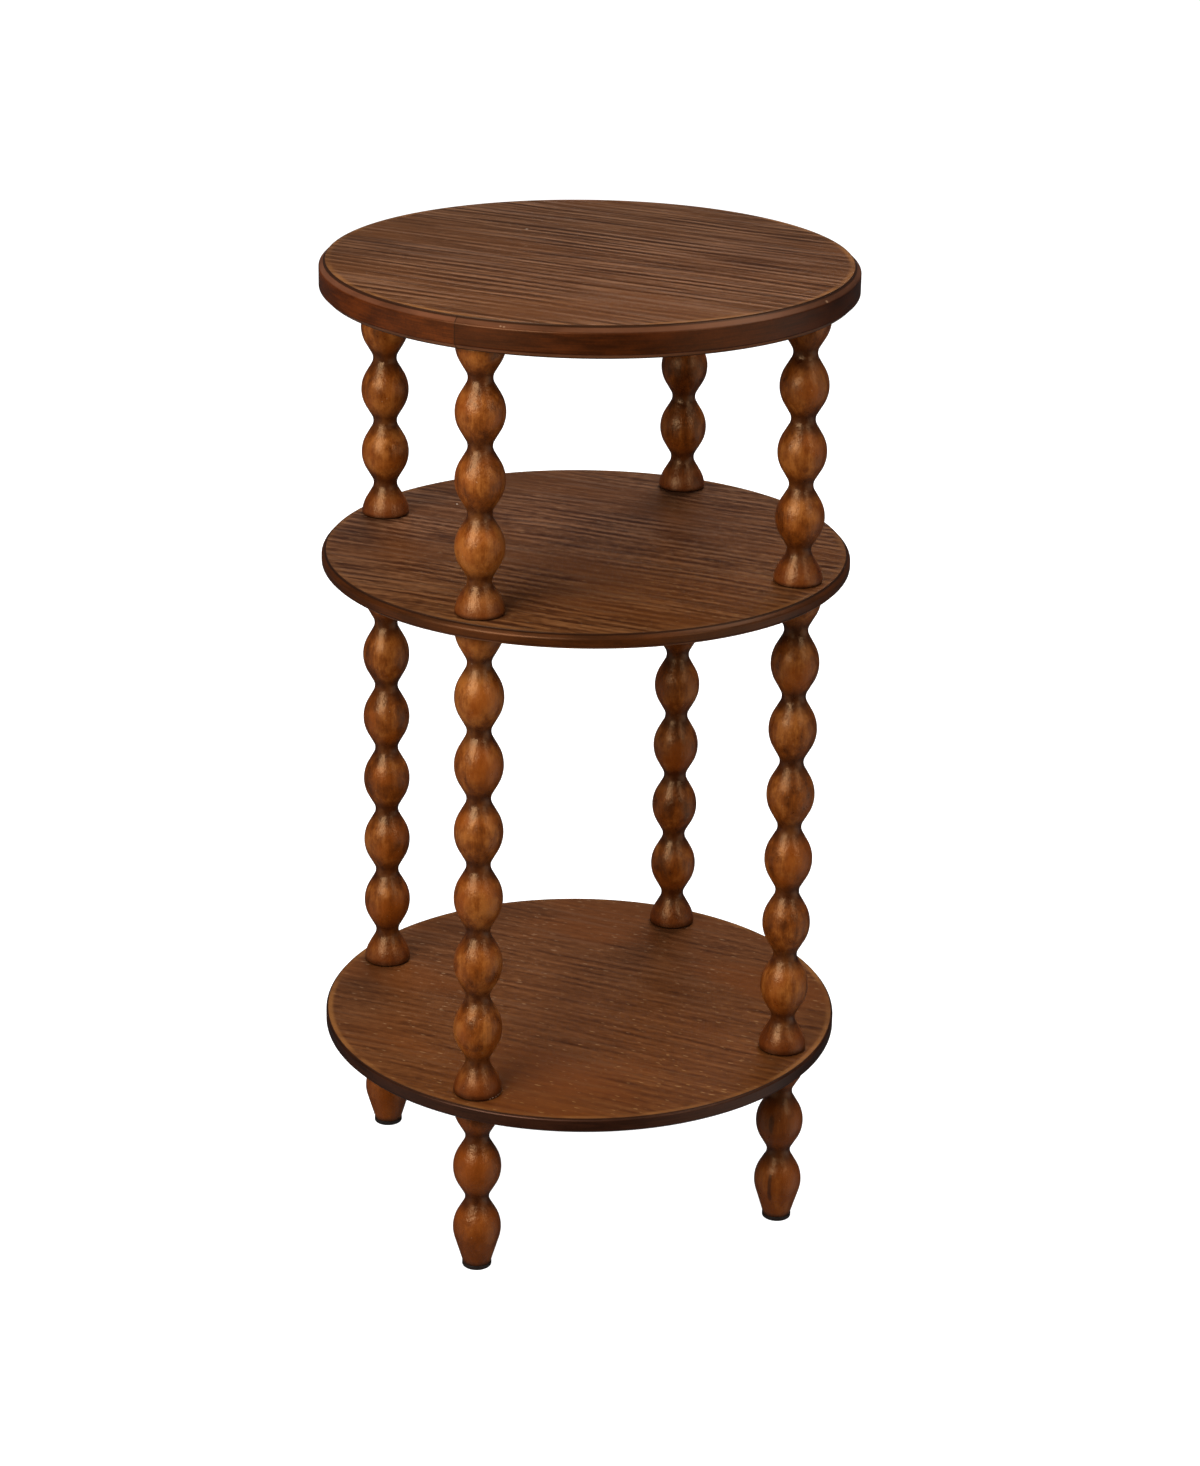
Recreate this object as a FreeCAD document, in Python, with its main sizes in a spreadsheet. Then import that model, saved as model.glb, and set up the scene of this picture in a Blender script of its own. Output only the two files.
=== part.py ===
import FreeCAD, Part
import math
import os
import re

import Sketcher
from FreeCAD import Placement, Rotation, Vector

# Round side table: a top and two shelves carried by four legs of turned beads.
# Frame: +Z up, origin on the floor under the middle, front towards -Y.
# Lengths are in mm and angles in degrees.

SIZES = {
    # The three round boards: each a core with two veneers and a bent edge band
    "board_radius": 175.0,
    "top_thickness": 21.0,
    "middle_shelf_thickness": 10.0,
    "bottom_shelf_thickness": 10.0,
    "veneer_thickness": 0.6,
    "band_width": 5.0,
    "quirk_width": 0.3,
    "top_shoulder": 3.6,
    "top_bevel": 3.8,
    "middle_shelf_shoulder": 2.4,
    "middle_shelf_bevel": 2.2,
    "bottom_shelf_shoulder": 0.8,
    "bottom_shelf_bevel": 1.6,
    "band_joint_angle": -137.0,
    # The legs: where they stand and the shape of one turned bead
    "leg_angle": 45.0,
    "leg_inset": 7.0,
    "bead_radius": 16.0,
    "neck_radius": 8.0,
    "belly_arc_share": 0.68,
    "neck_arc_share": 0.22,
    "seat_round": 1.2,
    "upper_pitch": 43.7,
    "upper_beads": 3,
    "lower_pitch": 46.0,
    "lower_beads": 6,
    "foot_pitch": 44.6,
    "foot_beads": 1,
    "foot_taper_length": 25.4,
    "foot_end_radius": 9.5,
    # The glides under the feet and the nails that hold them
    "glide_rim": 0.3,
    "glide_thickness": 3.0,
    "glide_round": 1.0,
    "nail_head_radius": 3.0,
    "nail_head_thickness": 0.8,
    "nail_head_cover": 1.2,
    "nail_shank_radius": 1.1,
    "nail_length": 15.0,
    "nail_point_length": 2.5,
    # The hanger bolts and the threaded inserts that they screw into
    "bolt_radius": 3.0,
    "bolt_chamfer": 0.6,
    "bolt_end_gap": 1.0,
    "wood_thread_length": 25.0,
    "wood_thread_point": 5.0,
    "insert_radius": 5.0,
    "insert_length": 13.0,
    "insert_recess": 0.5,
    "insert_chamfer": 0.7,
    # Clearances, cuts and the slope of a drill's point
    "fit_clearance": 0.05,
    "hole_clearance": 0.25,
    "bore_overrun": 1.0,
    "cut_overrun": 1.0,
    "drill_point_share": 0.6,
}

# Legs in the order of their angles, a quarter turn apart from leg_angle on
LEGS = ("back_right", "back_left", "front_left", "front_right")
FULL_TURN = math.degrees(math.tau)
QUARTER_TURN = FULL_TURN / len(LEGS)

# Lengths and levels worked out from the sizes above, as expressions
LEG_CIRCLE = "(board_radius - leg_inset - bead_radius)"
BAND_INNER = "(board_radius - band_width)"
UPPER_LENGTH = "(upper_pitch * (upper_beads + 1))"
LOWER_LENGTH = "(lower_pitch * (lower_beads + 1))"
FOOT_LENGTH = "(foot_taper_length + foot_pitch * (foot_beads + 1))"
GLIDE_RADIUS = "(foot_end_radius + glide_rim)"
INSERT_BORE = "(insert_radius + fit_clearance)"
BOLT_BORE = "(bolt_radius + fit_clearance)"
NAIL_BORE = "(nail_shank_radius + fit_clearance)"
BOLT_HOLE = "(bolt_radius + hole_clearance)"

FOOT_LEVEL = "glide_thickness"
BOTTOM_SHELF_LEVEL = f"({FOOT_LEVEL} + {FOOT_LENGTH})"
LOWER_SPINDLE_LEVEL = f"({BOTTOM_SHELF_LEVEL} + bottom_shelf_thickness)"
MIDDLE_SHELF_LEVEL = f"({LOWER_SPINDLE_LEVEL} + {LOWER_LENGTH})"
UPPER_SPINDLE_LEVEL = f"({MIDDLE_SHELF_LEVEL} + middle_shelf_thickness)"
TOP_LEVEL = f"({UPPER_SPINDLE_LEVEL} + {UPPER_LENGTH})"

# The sketcher's numbers for a sketch's level axis, whose first point is the origin, for its upright
# axis, and for the start, end and centre of an element
LEVEL_AXIS, UPRIGHT_AXIS = range(-1, -3, -1)
START, END, CENTRE = range(1, 4)
SAME_SPOT = 1e-4

doc = FreeCAD.newDocument("side_table")
sheet = doc.addObject("Spreadsheet::Sheet", "sizes")
for row, (alias, number) in enumerate(SIZES.items(), start=1):
    cell = f"A{row}"
    sheet.set(cell, str(number))
    sheet.setAlias(cell, alias)
doc.recompute()


def bound(text):
    """The expression with each named size read from the sheet."""
    return re.sub(r"[a-z_]+", lambda word: f"sizes.{word[0]}" if word[0] in SIZES else word[0], text)


def value(text):
    """What an expression comes to now."""
    return float(sheet.evalExpression(bound(text)))


def sub_part(label, level, turn):
    """An empty body at a level above the floor, turned about the table's upright axis."""
    body = doc.addObject("PartDesign::Body", label)
    body.Label = label
    body.AllowCompound = True
    body.Placement = Placement(Vector(), Rotation(Vector(0, 0, 1), value(turn)))
    body.setExpression("Placement.Rotation.Angle", bound(f"({turn}) * 1 deg"))
    body.setExpression("Placement.Base.z", bound(level))
    return body


def stand_on_leg_circle(body, number):
    """Move a body to the axis of one leg."""
    angle = f"(leg_angle + {QUARTER_TURN * number}) * 1 deg"
    body.setExpression("Placement.Base.x", bound(f"{LEG_CIRCLE} * cos({angle})"))
    body.setExpression("Placement.Base.y", bound(f"{LEG_CIRCLE} * sin({angle})"))


def origin_feature(body, role):
    """One of a body's own origin planes or axes."""
    return next(feature for feature in body.Origin.OriginFeatures if feature.Role == role)


def new_sketch(body, name, plane="XZ_Plane", across="0"):
    """A sketch on one of a body's own planes, its origin moved across along X."""
    sketch = body.newObject("Sketcher::SketchObject", name)
    sketch.AttachmentSupport = (origin_feature(body, plane), [""])
    sketch.MapMode = "FlatFace"
    sketch.setExpression("AttachmentOffset.Base.x", bound(across))
    return sketch


def bind(sketch, kind, elements, text):
    """Add a constraint whose number comes from an expression."""
    index = sketch.addConstraint(Sketcher.Constraint(kind, *elements, value(text)))
    sketch.setExpression(f"Constraints[{index}]", bound(text))


def hold_point(sketch, element, point, across, up):
    """Hold a point of an element at its distances from the sketch's origin."""
    for kind, axis, text in (("DistanceX", UPRIGHT_AXIS, across), ("DistanceY", LEVEL_AXIS, up)):
        if text == "0":
            sketch.addConstraint(Sketcher.Constraint("PointOnObject", element, point, axis))
        else:
            bind(sketch, kind, (LEVEL_AXIS, START, element, point), text)


def draw_outline(sketch, corners):
    """Draw a closed outline of straight lines through corners given as expressions."""
    spots = [Vector(value(across), value(up), 0) for across, up in corners]
    for spot, following in zip(spots, spots[1:] + spots[:1]):
        sketch.addGeometry(Part.LineSegment(spot, following))
    for line, (across, up) in enumerate(corners):
        sketch.addConstraint(Sketcher.Constraint("Coincident", line, END, (line + 1) % len(corners), START))
        hold_point(sketch, line, START, across, up)


def draw_circle(sketch, radius):
    """Draw a circle about the sketch's origin."""
    circle = sketch.addGeometry(Part.Circle(Vector(), Vector(0, 0, 1), value(radius)))
    sketch.addConstraint(Sketcher.Constraint("Coincident", circle, CENTRE, LEVEL_AXIS, START))
    bind(sketch, "Radius", (circle,), radius)


def revolve(body, sketch, name, kind="Revolution", angle=FULL_TURN):
    """Revolve a sketch about its own upright axis, as wood or as a cut."""
    before = 0 if body.Shape.isNull() else body.Shape.Volume
    feature = body.newObject(f"PartDesign::{kind}", name)
    feature.Profile = sketch
    feature.ReferenceAxis = (sketch, ["V_Axis"])
    feature.Angle = angle
    doc.recompute()
    if kind == "Groove" and not body.Shape.Volume < before:
        raise ValueError(f"{body.Label}: {name} cuts nothing")
    return feature


def repeat_round(body, feature, name):
    """Repeat a feature at the four legs."""
    pattern = body.newObject("PartDesign::PolarPattern", name)
    pattern.Originals = [feature]
    pattern.Axis = (origin_feature(body, "Z_Axis"), [""])
    pattern.Angle = FULL_TURN
    pattern.Occurrences = len(LEGS)
    body.Tip = pattern
    doc.recompute()


def round_edges(body, rims):
    """Name the circular edges of a body, each given by its radius and level."""
    names = []
    for radius, level in rims:
        for number, edge in enumerate(body.Tip.Shape.Edges, start=1):
            curve = edge.Curve
            if not isinstance(curve, Part.Circle):
                continue
            if abs(curve.Radius - value(radius)) + abs(curve.Center.z - value(level)) < SAME_SPOT:
                names.append(f"Edge{number}")
    if len(names) < len(rims):
        raise ValueError(f"{body.Label}: no edge at one of {rims}")
    return names


def dress_edges(body, name, kind, rims, size):
    """Fillet or chamfer the circular edges of a body."""
    base, names = body.Tip, round_edges(body, rims)
    feature = body.newObject(f"PartDesign::{kind}", name)
    feature.Base = (base, names)
    feature.setExpression("Radius" if kind == "Fillet" else "Size", bound(size))
    doc.recompute()


def drill(body, name, radius, depth, mouth="0", upward=True, across="0"):
    """Drill a bore with a pointed end, from a mouth level up or down into the wood."""
    way = "+" if upward else "-"
    back = "-" if upward else "+"
    start = f"({mouth} {back} cut_overrun)"
    floor = f"({mouth} {way} ({depth}))"
    sketch = new_sketch(body, f"{name}_profile", across=across)
    draw_outline(sketch, [
        ("0", start),
        (radius, start),
        (radius, floor),
        ("0", f"({floor} {way} {radius} * drill_point_share)"),
    ])
    return revolve(body, sketch, name, kind="Groove")


def make_disc(label, level, radius, thickness, bore=None):
    """A round board layer, with a bore of a radius and depth from below at each leg."""
    body = sub_part(label, level, "leg_angle")
    sketch = new_sketch(body, "rim", plane="XY_Plane")
    draw_circle(sketch, radius)
    pad = body.newObject("PartDesign::Pad", "layer")
    pad.Profile = sketch
    pad.setExpression("Length", bound(thickness))
    doc.recompute()
    if bore:
        cut = drill(body, "bore", *bore, across=LEG_CIRCLE)
        repeat_round(body, cut, "bores_at_the_legs")


def make_band(label, level, height, shoulder, bevel, angle, turn):
    """A bent edge band: a strip on edge with a sloping shoulder above and a bevel below."""
    body = sub_part(label, level, turn)
    sketch = new_sketch(body, "section")
    draw_outline(sketch, [
        (BAND_INNER, "0"),
        ("board_radius", "0"),
        ("board_radius", height),
        (BAND_INNER, height),
    ])
    revolve(body, sketch, "bent_strip", angle=angle)
    dress_edges(body, "shoulder", "Chamfer", [("board_radius", height)], shoulder)
    dress_edges(body, "bevel", "Chamfer", [("board_radius", "0")], bevel)


def make_board(name, level, core_bore, back_bore, face_bore, bands):
    """A core between two veneers inside its edge band, the face veneer lapping over the band."""
    thickness = f"{name}_thickness"
    band_height = f"({thickness} - veneer_thickness)"
    core_thickness = f"({thickness} - 2 * veneer_thickness)"
    face_radius = f"(board_radius - {name}_shoulder - quirk_width)"
    make_disc(f"{name}_core", f"{level} + veneer_thickness", BAND_INNER, core_thickness, core_bore)
    make_disc(f"{name}_back_veneer", level, BAND_INNER, "veneer_thickness", back_bore)
    make_disc(f"{name}_face_veneer", f"{level} + {band_height}", face_radius, "veneer_thickness", face_bore)
    angle = FULL_TURN / len(bands)
    for number, band in enumerate(bands):
        turn = f"band_joint_angle + {angle * number}"
        make_band(f"{name}_{band}", level, band_height, f"{name}_shoulder", f"{name}_bevel", angle, turn)


def make_top():
    """The top, with blind bores from below for the threaded inserts."""
    through = "veneer_thickness + cut_overrun"
    depth = "insert_recess + insert_length + bore_overrun - veneer_thickness"
    bands = ("right_edge_band", "left_edge_band")
    make_board("top", TOP_LEVEL, (INSERT_BORE, depth), (INSERT_BORE, through), None, bands)


def make_shelf(name, level):
    """A shelf, with a hole through it at each leg for the hanger bolt."""
    bore = (BOLT_HOLE, f"{name}_thickness + cut_overrun")
    make_board(name, level, bore, bore, bore, ("edge_band",))


def bead_arcs(pitch):
    """Radii of the belly and neck arcs: shares of the sum at which the two arcs would just meet."""
    amplitude = "(bead_radius - neck_radius)"
    meeting = f"((({pitch}) ^ 2 / 4 + {amplitude} ^ 2) / (2 * {amplitude}))"
    return f"({meeting} * belly_arc_share)", f"({meeting} * neck_arc_share)"


def flank_angle(pitch):
    """Angle from upright of the straight flank that touches both arcs of a bead."""
    belly, neck = (value(arc) for arc in bead_arcs(pitch))
    inward = belly + neck - value("bead_radius - neck_radius")
    upward = value(pitch) / 2
    return math.atan2(upward, inward) - math.acos((belly + neck) / math.hypot(inward, upward))


def taper_angle(pitch, belly_level):
    """Angle below level at which the foot's straight taper leaves the belly arc."""
    belly = value(bead_arcs(pitch)[0])
    inward = value("foot_end_radius - bead_radius") + belly
    downward = value(belly_level)
    return math.atan2(downward, inward) - math.acos(belly / math.hypot(inward, downward))


def draw_turned_profile(sketch, pitch, stations, taper=False):
    """Draw half the outline of turned wood through stations, which are necks and bellies from below.

    Each station is a kind and a level. With taper, a straight line runs from the sketch's foot
    to the first station, which is then a belly.
    """
    belly_arc, neck_arc = bead_arcs(pitch)
    slope = flank_angle(pitch)
    chain = []
    for place, (kind, level) in enumerate(stations):
        below = slope if place else 0
        above = slope if place < len(stations) - 1 else 0
        if taper and not place:
            below = taper_angle(pitch, level)
        if kind == "belly":
            radius, centre = belly_arc, f"(bead_radius - {belly_arc})"
            sweep = (-below, above)
            ends = (START, END)
        else:
            radius, centre = neck_arc, f"(neck_radius + {neck_arc})"
            sweep = (math.pi - above, math.pi + below)
            ends = (END, START)
        circle = Part.Circle(Vector(value(centre), value(level), 0), Vector(0, 0, 1), value(radius))
        arc = sketch.addGeometry(Part.ArcOfCircle(circle, *sweep))
        bind(sketch, "Radius", (arc,), radius)
        hold_point(sketch, arc, CENTRE, centre, level)
        chain.append((arc, *ends))
    for (lower, _, lower_end), (upper, upper_end, _) in zip(chain, chain[1:]):
        draw_flank(sketch, (lower, lower_end), (upper, upper_end))
    first, last = chain[0], chain[-1]
    if taper:
        foot = sketch.addGeometry(Part.LineSegment(Vector(value("foot_end_radius"), 0, 0),
                                                   sketch.getPoint(first[0], first[1])))
        hold_point(sketch, foot, START, "foot_end_radius", "0")
        sketch.addConstraint(Sketcher.Constraint("Tangent", foot, END, first[0], first[1]))
        low = (foot, START)
    else:
        sketch.addConstraint(Sketcher.Constraint("Horizontal", first[0], first[1], first[0], CENTRE))
        low = (first[0], first[1])
    sketch.addConstraint(Sketcher.Constraint("Horizontal", last[0], last[2], last[0], CENTRE))
    close_to_axis(sketch, low, (last[0], last[2]))


def draw_flank(sketch, lower, upper):
    """Draw the straight line that touches two arcs at their ends."""
    line = sketch.addGeometry(Part.LineSegment(sketch.getPoint(*lower), sketch.getPoint(*upper)))
    sketch.addConstraint(Sketcher.Constraint("Tangent", line, START, *lower))
    sketch.addConstraint(Sketcher.Constraint("Tangent", line, END, *upper))


def close_to_axis(sketch, low, high):
    """Close a profile with a level line at each end and a line along the axis."""
    feet = []
    for end in (low, high):
        spot = sketch.getPoint(*end)
        line = sketch.addGeometry(Part.LineSegment(spot, Vector(0, spot.y, 0)))
        sketch.addConstraint(Sketcher.Constraint("Coincident", line, START, *end))
        sketch.addConstraint(Sketcher.Constraint("PointOnObject", line, END, UPRIGHT_AXIS))
        sketch.addConstraint(Sketcher.Constraint("Horizontal", line))
        feet.append(line)
    axis = sketch.addGeometry(Part.LineSegment(*(sketch.getPoint(line, END) for line in feet)))
    for line, point in zip(feet, (START, END)):
        sketch.addConstraint(Sketcher.Constraint("Coincident", axis, point, line, END))


def turn_beads(body, pitch, beads, first_belly="0"):
    """Turn the whole beads of a leg piece and the half bead at its upper end."""
    sketch = new_sketch(body, "bead_profile")
    draw_turned_profile(sketch, pitch, [
        ("neck", f"({first_belly} + {pitch} / 2)"),
        ("belly", f"({first_belly} + {pitch})"),
        ("neck", f"({first_belly} + {pitch} * 3 / 2)"),
    ])
    bead = revolve(body, sketch, "bead")
    row = body.newObject("PartDesign::LinearPattern", "row_of_beads")
    row.Originals = [bead]
    row.Direction = (origin_feature(body, "Z_Axis"), [""])
    row.Mode = "Spacing"
    row.setExpression("Offset", bound(pitch))
    row.setExpression("Occurrences", bound(beads))
    body.Tip = row
    doc.recompute()
    sketch = new_sketch(body, "upper_half_bead_profile")
    draw_turned_profile(sketch, pitch, [
        ("neck", f"({first_belly} + {pitch} * ({beads} + 1 / 2))"),
        ("belly", f"({first_belly} + {pitch} * ({beads} + 1))"),
    ])
    revolve(body, sketch, "upper_half_bead")


def drill_for_bolt(body, mouth):
    """Drill down from the upper end for the wood thread of a hanger bolt."""
    drill(body, "bolt_bore", BOLT_BORE, "wood_thread_length + bore_overrun", mouth, upward=False)


def make_spindle(label, level, number, pitch, beads, length):
    """A turned spindle: half a bead, whole beads and half a bead, an insert below and a bolt above."""
    body = sub_part(label, level, f"leg_angle + {QUARTER_TURN * number}")
    stand_on_leg_circle(body, number)
    turn_beads(body, pitch, beads)
    sketch = new_sketch(body, "lower_half_bead_profile")
    draw_turned_profile(sketch, pitch, [("belly", "0"), ("neck", f"({pitch} / 2)")])
    revolve(body, sketch, "lower_half_bead")
    rims = [("bead_radius", "0"), ("bead_radius", length)]
    dress_edges(body, "seat_rounding", "Fillet", rims, "seat_round")
    drill(body, "insert_bore", INSERT_BORE, "insert_recess + insert_length + bore_overrun")
    drill_for_bolt(body, length)


def make_foot(label, number):
    """A turned foot: half a bead, a whole bead and a last bead that tapers to the glide."""
    body = sub_part(label, FOOT_LEVEL, f"leg_angle + {QUARTER_TURN * number}")
    stand_on_leg_circle(body, number)
    turn_beads(body, "foot_pitch", "foot_beads", "foot_taper_length")
    sketch = new_sketch(body, "tapered_bead_profile")
    stations = [("belly", "foot_taper_length"), ("neck", "(foot_taper_length + foot_pitch / 2)")]
    draw_turned_profile(sketch, "foot_pitch", stations, taper=True)
    revolve(body, sketch, "tapered_bead")
    dress_edges(body, "seat_rounding", "Fillet", [("bead_radius", FOOT_LENGTH)], "seat_round")
    drill(body, "nail_bore", NAIL_BORE, "nail_length + bore_overrun")
    drill_for_bolt(body, FOOT_LENGTH)


def make_glide(label, number):
    """A glide: a hard plastic button moulded round the head of its nail."""
    body = sub_part(label, "0", f"leg_angle + {QUARTER_TURN * number}")
    stand_on_leg_circle(body, number)
    sketch = new_sketch(body, "section")
    head_top = "(nail_head_cover + nail_head_thickness)"
    draw_outline(sketch, [
        ("0", "0"),
        (GLIDE_RADIUS, "0"),
        (GLIDE_RADIUS, "glide_thickness"),
        (NAIL_BORE, "glide_thickness"),
        (NAIL_BORE, head_top),
        ("(nail_head_radius + fit_clearance)", head_top),
        ("(nail_head_radius + fit_clearance)", "nail_head_cover"),
        ("0", "nail_head_cover"),
    ])
    revolve(body, sketch, "button")
    dress_edges(body, "rounding", "Fillet", [(GLIDE_RADIUS, "0")], "glide_round")


def make_set(label, level, corners):
    """Four like fasteners, one on each leg's axis, from half of their outline."""
    body = sub_part(label, level, "leg_angle")
    sketch = new_sketch(body, "section", across=LEG_CIRCLE)
    draw_outline(sketch, corners)
    fastener = revolve(body, sketch, "fastener")
    repeat_round(body, fastener, "one_for_each_leg")


def make_hanger_bolts(label, level, reach):
    """Hanger bolts: a pointed wood thread below the level, a machine thread reaching above it."""
    make_set(label, level, [
        ("0", "(0 - wood_thread_length)"),
        ("bolt_radius", "(wood_thread_point - wood_thread_length)"),
        ("bolt_radius", f"({reach} - bolt_chamfer)"),
        ("(bolt_radius - bolt_chamfer)", reach),
        ("0", reach),
    ])


def make_inserts(label, level):
    """Threaded inserts, set a little way into the wood above the level."""
    base, tip = "insert_recess", "(insert_recess + insert_length)"
    make_set(label, level, [
        (BOLT_BORE, base),
        ("insert_radius", base),
        ("insert_radius", f"({tip} - insert_chamfer)"),
        ("(insert_radius - insert_chamfer)", tip),
        (BOLT_BORE, tip),
    ])


def make_glide_nails():
    """The nails of the glides, their heads inside the plastic and their points up in the feet."""
    head_top = "(nail_head_cover + nail_head_thickness)"
    tip = f"({FOOT_LEVEL} + nail_length)"
    make_set("glide_nails", "0", [
        ("0", "nail_head_cover"),
        ("nail_head_radius", "nail_head_cover"),
        ("nail_head_radius", head_top),
        ("nail_shank_radius", head_top),
        ("nail_shank_radius", f"({tip} - nail_point_length)"),
        ("0", tip),
    ])


def make_leg(place, number):
    """The four pieces of one leg, from its glide up."""
    make_glide(f"glide_{place}", number)
    make_foot(f"foot_{place}", number)
    make_spindle(f"lower_spindle_{place}", LOWER_SPINDLE_LEVEL, number,
                 "lower_pitch", "lower_beads", LOWER_LENGTH)
    make_spindle(f"upper_spindle_{place}", UPPER_SPINDLE_LEVEL, number,
                 "upper_pitch", "upper_beads", UPPER_LENGTH)


def make_fasteners():
    """The bolts, inserts and nails, which are hidden in the wood."""
    in_insert = "insert_recess + insert_length - bolt_end_gap"
    make_hanger_bolts("foot_hanger_bolts", BOTTOM_SHELF_LEVEL, f"(bottom_shelf_thickness + {in_insert})")
    make_hanger_bolts("lower_hanger_bolts", MIDDLE_SHELF_LEVEL, f"(middle_shelf_thickness + {in_insert})")
    make_hanger_bolts("upper_hanger_bolts", TOP_LEVEL, f"({in_insert})")
    make_inserts("lower_spindle_inserts", LOWER_SPINDLE_LEVEL)
    make_inserts("upper_spindle_inserts", UPPER_SPINDLE_LEVEL)
    make_inserts("top_inserts", TOP_LEVEL)
    make_glide_nails()


def check_document():
    """Stop if any object failed or any sub-part has no sound shape."""
    doc.recompute()
    for item in doc.Objects:
        if "Invalid" in item.State or "Error" in item.State:
            raise RuntimeError(f"{item.Label}: {item.State}")
    for body in doc.findObjects("PartDesign::Body"):
        if body.Shape.isNull() or not body.Shape.isValid():
            raise RuntimeError(f"{body.Label}: shape is not sound")


def write_sub_parts():
    """Write each sub-part to a file named after it."""
    os.makedirs("parts", exist_ok=True)
    for body in doc.findObjects("PartDesign::Body"):
        body.Shape.exportStep(os.path.join("parts", f"{body.Label}.step"))
        print(f"{body.Label}: {len(body.Shape.Solids)} solid(s), {body.Shape.Volume:.0f} mm3")


make_top()
make_shelf("middle_shelf", MIDDLE_SHELF_LEVEL)
make_shelf("bottom_shelf", BOTTOM_SHELF_LEVEL)
for number, place in enumerate(LEGS):
    make_leg(place, number)
make_fasteners()
check_document()
write_sub_parts()
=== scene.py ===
"""Round side table with three tiers on legs of turned beads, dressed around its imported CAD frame.

The frame is the CAD's own: Z up, the floor at zero and the front towards -Y. Sizes of the table are in
millimetres and pieces are brought to metres when they are finished. The studio is in metres.
"""

import logging
import math
from abc import ABC, abstractmethod
from dataclasses import dataclass, replace
from enum import Enum
from typing import Callable, Sequence

import bmesh
import bpy
from bmesh.types import BMEdge, BMesh, BMLayerItem, BMVert
from bpy.types import ID, Material, Node, NodeSocket, NodeTree, Object
from mathutils import Matrix, Vector


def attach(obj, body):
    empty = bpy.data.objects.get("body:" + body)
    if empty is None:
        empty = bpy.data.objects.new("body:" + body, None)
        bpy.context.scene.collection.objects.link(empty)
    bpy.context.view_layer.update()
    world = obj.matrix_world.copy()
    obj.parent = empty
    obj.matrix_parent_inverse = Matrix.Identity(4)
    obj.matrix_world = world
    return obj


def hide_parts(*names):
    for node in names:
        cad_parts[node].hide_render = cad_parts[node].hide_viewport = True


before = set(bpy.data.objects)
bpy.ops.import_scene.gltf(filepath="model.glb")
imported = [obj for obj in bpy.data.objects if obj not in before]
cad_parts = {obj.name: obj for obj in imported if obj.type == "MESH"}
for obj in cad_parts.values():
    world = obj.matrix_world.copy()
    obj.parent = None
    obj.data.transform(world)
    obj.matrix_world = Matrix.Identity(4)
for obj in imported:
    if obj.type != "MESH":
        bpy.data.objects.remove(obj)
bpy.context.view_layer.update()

log = logging.getLogger("side_table")

MM = 0.001
BODY = "root"
UPRIGHT = (0.0, 0.0, 1.0)
# Turning about this axis carries +X towards +Z, as a profile is drawn
PROFILE_AXIS = (0.0, -1.0, 0.0)
QUARTER = math.pi / 2
MERGE_DISTANCE = 0.0005
# A side gets vertices near its ends where it is longer than this many margins
LEAST_MARGINS = 2.2
# Least angle between the two faces of an edge that is rounded, and of one that is shaded sharp
HOOP_ANGLE = math.radians(20)
SHARP_ANGLE = math.radians(38)
# How dark the pooled stain and painted shade in a neck are, beside those at the joint at a seat
NECK_SHADE = 0.92
# Radius of the circle on which the legs stand, and of the boards
LEG_CIRCLE = 152.0
BOARD_RADIUS = 175.0

Colour = tuple[float, float, float]
Pair = tuple[float, float]
Spot = tuple[float, float, float]
Rule = Callable[[float, float], float]
Feed = NodeSocket | float | Sequence[float]


class Leg(Enum):
    """The four legs by the angle of each about the middle, in degrees."""

    BACK_RIGHT = 45
    BACK_LEFT = 135
    FRONT_LEFT = 225
    FRONT_RIGHT = 315

    @property
    def label(self) -> str:
        """The leg's name as the CAD nodes have it."""
        return self.name.lower()

    def place(self, level: float) -> Vector:
        """Where the leg's axis is at a level."""
        angle = math.radians(self.value)
        return Vector((LEG_CIRCLE * math.cos(angle), LEG_CIRCLE * math.sin(angle), level))


class Mark(Enum):
    """Attributes that a piece carries for its finish, each from 0 to 1."""

    # How much pooled stain and painted shade a point takes, in the necks and at the joints
    HOLLOW = "hollow"
    WEAR = "wear"


# Meshes


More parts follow.
